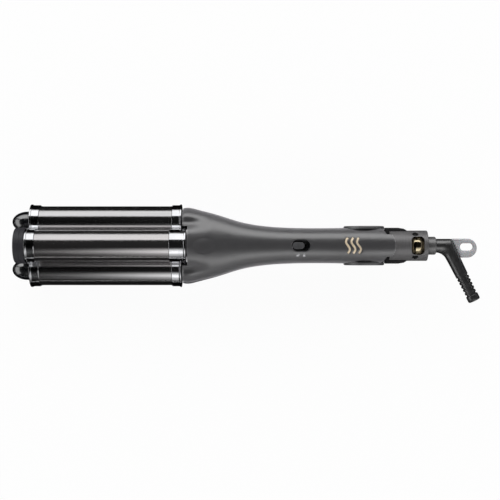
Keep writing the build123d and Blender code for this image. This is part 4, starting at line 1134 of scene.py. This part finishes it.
class WAVER_OT_stage(Operator):
    """Set the floor, the lamps, the world and the camera"""
    bl_idname = "waver.stage"
    bl_label = "Studio"

    floor_size = 14.0
    floor_drop = 0.2 * MM           # below the rest surface
    floor_tone = 0.8
    floor_share = 0.95              # how white the camera and mirrors see the floor
    card_size = (1.8, 1.6)
    card_drop = 0.1 * MM
    card_tone = 0.002
    view_x, view_y = -0.090, -0.0034        # the place that the camera looks down on
    lamps_x = -0.35
    fill_depth = 1.8                # of a fill lamp, for each metre that it stands high
    # The glow's (share, tone) stops: by the angle from straight up towards the front, as a share
    # of half a turn, and by a direction's X over side_range.
    lean_stops = ((12 / 180, 0.006), (46 / 180, 1.0), (66 / 180, 0.38), (90 / 180, 0.01))
    side_stops = ((0.10, 0.01), (0.18, 0.05), (0.26, 0.17), (0.33, 0.42), (0.42, 0.92),
                  (0.50, 1.0), (0.85, 0.60))
    side_range = (-0.2, 0.1)

    def sheet(self, name, cuts, size, location, finish):
        """A flat sheet of the stage."""
        deselect()
        bpy.ops.mesh.primitive_grid_add(x_subdivisions=cuts, y_subdivisions=cuts, size=1.0,
                                        location=location)
        obj = bpy.context.object
        obj.name = name
        obj.scale = (*size, 1.0)
        place(obj)
        obj.data.materials.append(finish.material)
        return obj

    def floor(self):
        """Pale floor that the camera and mirrors see nearly as white."""
        finish = Finish("studio floor", [self.floor_tone] * 3, 0.9, Specular_IOR_Level=0.0)
        tree = finish.tree
        path = tree.nodes.new("ShaderNodeLightPath").outputs
        glow = tree.nodes.new("ShaderNodeEmission").outputs["Emission"]
        seen = calculated(tree, "MAXIMUM", path["Is Camera Ray"], path["Is Glossy Ray"])
        seen = calculated(tree, "MAXIMUM", seen, path["Is Transmission Ray"])
        mixed(tree, calculated(tree, "MULTIPLY", seen, self.floor_share),
              finish.shader.outputs["BSDF"], glow, "Material Output")
        self.sheet("studio_floor", 4, (self.floor_size, self.floor_size),
                   (0.0, 0.0, -self.floor_drop), finish)

    def card(self):
        """Black card under the waver, seen only in its reflections, for crisp dark edges."""
        finish = Finish("studio card", [self.card_tone] * 3, 1.0, Specular_IOR_Level=0.0)
        obj = self.sheet("studio_card", 2, self.card_size, (self.view_x, 0.0, -self.card_drop),
                         finish)
        obj.visible_camera = False
        obj.visible_diffuse = False
        obj.visible_shadow = False
        obj.visible_transmission = False

    def softbox(self, name, centre, turn, size, watts):
        """Rectangular lamp that the camera doesn't see, turned in degrees about x and y."""
        light = bpy.data.lights.new(name, "AREA")
        light.shape = "RECTANGLE"
        light.size, light.size_y = size
        light.energy = watts
        obj = bpy.data.objects.new(name, light)
        bpy.context.scene.collection.objects.link(obj)
        obj.location = centre
        obj.rotation_euler = (math.radians(turn[0]), math.radians(turn[1]), 0.0)
        obj.visible_camera = False
        return obj

    def lamps(self):
        """Softboxes behind and on the left, and two fills that the polished pieces don't see."""
        light, x = studio(), self.lamps_x
        self.softbox("softbox_behind", (x, 2.20, 1.34), (-90, 0), (6.0, 2.40), light.key_power)
        self.softbox("softbox_left", (-2.50, -0.55, 1.15), (0, -90), (1.70, 3.40),
                     light.side_power)
        for name, y, z, turn in (("fill_behind", 2.25, 1.30, -90),
                                 ("fill_front", -2.25, 0.95, 90)):
            fill = self.softbox(name, (x, y, z), (turn, 0), (6.0, self.fill_depth * z),
                                z * light.fill_power)
            fill.visible_glossy = False

    def world(self):
        """Dark room with a soft glow low in front, which the camera sees as white."""
        world = bpy.data.worlds.new("studio world")
        bpy.context.scene.world = world
        world.use_nodes = True
        tree = world.node_tree
        view = tree.nodes.new("ShaderNodeTexCoord").outputs["Generated"]
        split = added(tree, "SeparateXYZ", Vector=view).outputs
        toward = calculated(tree, "MULTIPLY", split["Y"], -1.0)
        lean = calculated(tree, "ARCTAN2", toward, split["Z"])
        tone = ramp(tree, calculated(tree, "DIVIDE", lean, math.pi), greys(self.lean_stops),
                    "EASE")
        low, high = self.side_range
        side = added(tree, "MapRange", Value=split["X"], From_Min=low, From_Max=high)
        spread = ramp(tree, side.outputs["Result"], greys(self.side_stops))
        glow = calculated(tree, "MULTIPLY", spread, studio().front_glow)
        sky = feed(tree, tree.nodes["Background"], Color=tone, Strength=glow)
        plain = added(tree, "Background", Color=(1.0, 1.0, 1.0, 1.0))
        seen = tree.nodes.new("ShaderNodeLightPath").outputs["Is Camera Ray"]
        mixed(tree, seen, sky.outputs["Background"], plain.outputs["Background"], "World Output")

    def camera(self):
        data = bpy.data.cameras.new("studio camera")
        data.lens = studio().camera_lens
        data.sensor_width = 36.0
        data.clip_end = 50.0
        obj = bpy.data.objects.new("studio camera", data)
        bpy.context.scene.collection.objects.link(obj)
        obj.location = (self.view_x, self.view_y, studio().camera_height)
        bpy.context.scene.camera = obj

    def execute(self, context):
        context.scene.view_settings.view_transform = "Standard"
        self.floor()
        self.card()
        self.lamps()
        self.world()
        self.camera()
        return {"FINISHED"}


STEPS = (
    WAVER_OT_stage, WAVER_OT_carried_nodes, WAVER_OT_barrels, WAVER_OT_caps, WAVER_OT_cool_tips,
    WAVER_OT_covers, WAVER_OT_inner_faces, WAVER_OT_lock, WAVER_OT_emblem, WAVER_OT_hinge,
    WAVER_OT_swivel, WAVER_OT_strain_relief, WAVER_OT_buttons,
)


class WAVER_PT_panel(Panel):
    """Sizes, colours and steps of the waver"""
    bl_idname = "WAVER_PT_panel"
    bl_label = "Hair Waver"
    bl_space_type = "VIEW_3D"
    bl_region_type = "UI"
    bl_category = "Waver"

    def draw(self, context):
        scene = context.scene
        for group in (scene.waver_sizes, scene.waver_colours, scene.waver_studio):
            box = self.layout.box()
            for key in group.__annotations__:
                box.prop(group, key)
        for step in STEPS:
            self.layout.operator(step.bl_idname)


GROUPS = {"waver_sizes": WaverSizes, "waver_colours": WaverColours, "waver_studio": WaverStudio}


def register():
    for group in GROUPS.values():
        bpy.utils.register_class(group)
    for name, group in GROUPS.items():
        setattr(bpy.types.Scene, name, PointerProperty(type=group))
    for step in STEPS:
        bpy.utils.register_class(step)
    bpy.utils.register_class(WAVER_PT_panel)


def unregister():
    bpy.utils.unregister_class(WAVER_PT_panel)
    for step in reversed(STEPS):
        bpy.utils.unregister_class(step)
    for name, group in GROUPS.items():
        delattr(bpy.types.Scene, name)
        bpy.utils.unregister_class(group)


def main():
    register()
    for step in STEPS:
        family, action = step.bl_idname.split(".")
        result = getattr(getattr(bpy.ops, family), action)()
        if result != {"FINISHED"}:
            raise RuntimeError(step.bl_label + " did not finish")


if __name__ == "__main__":
    main()
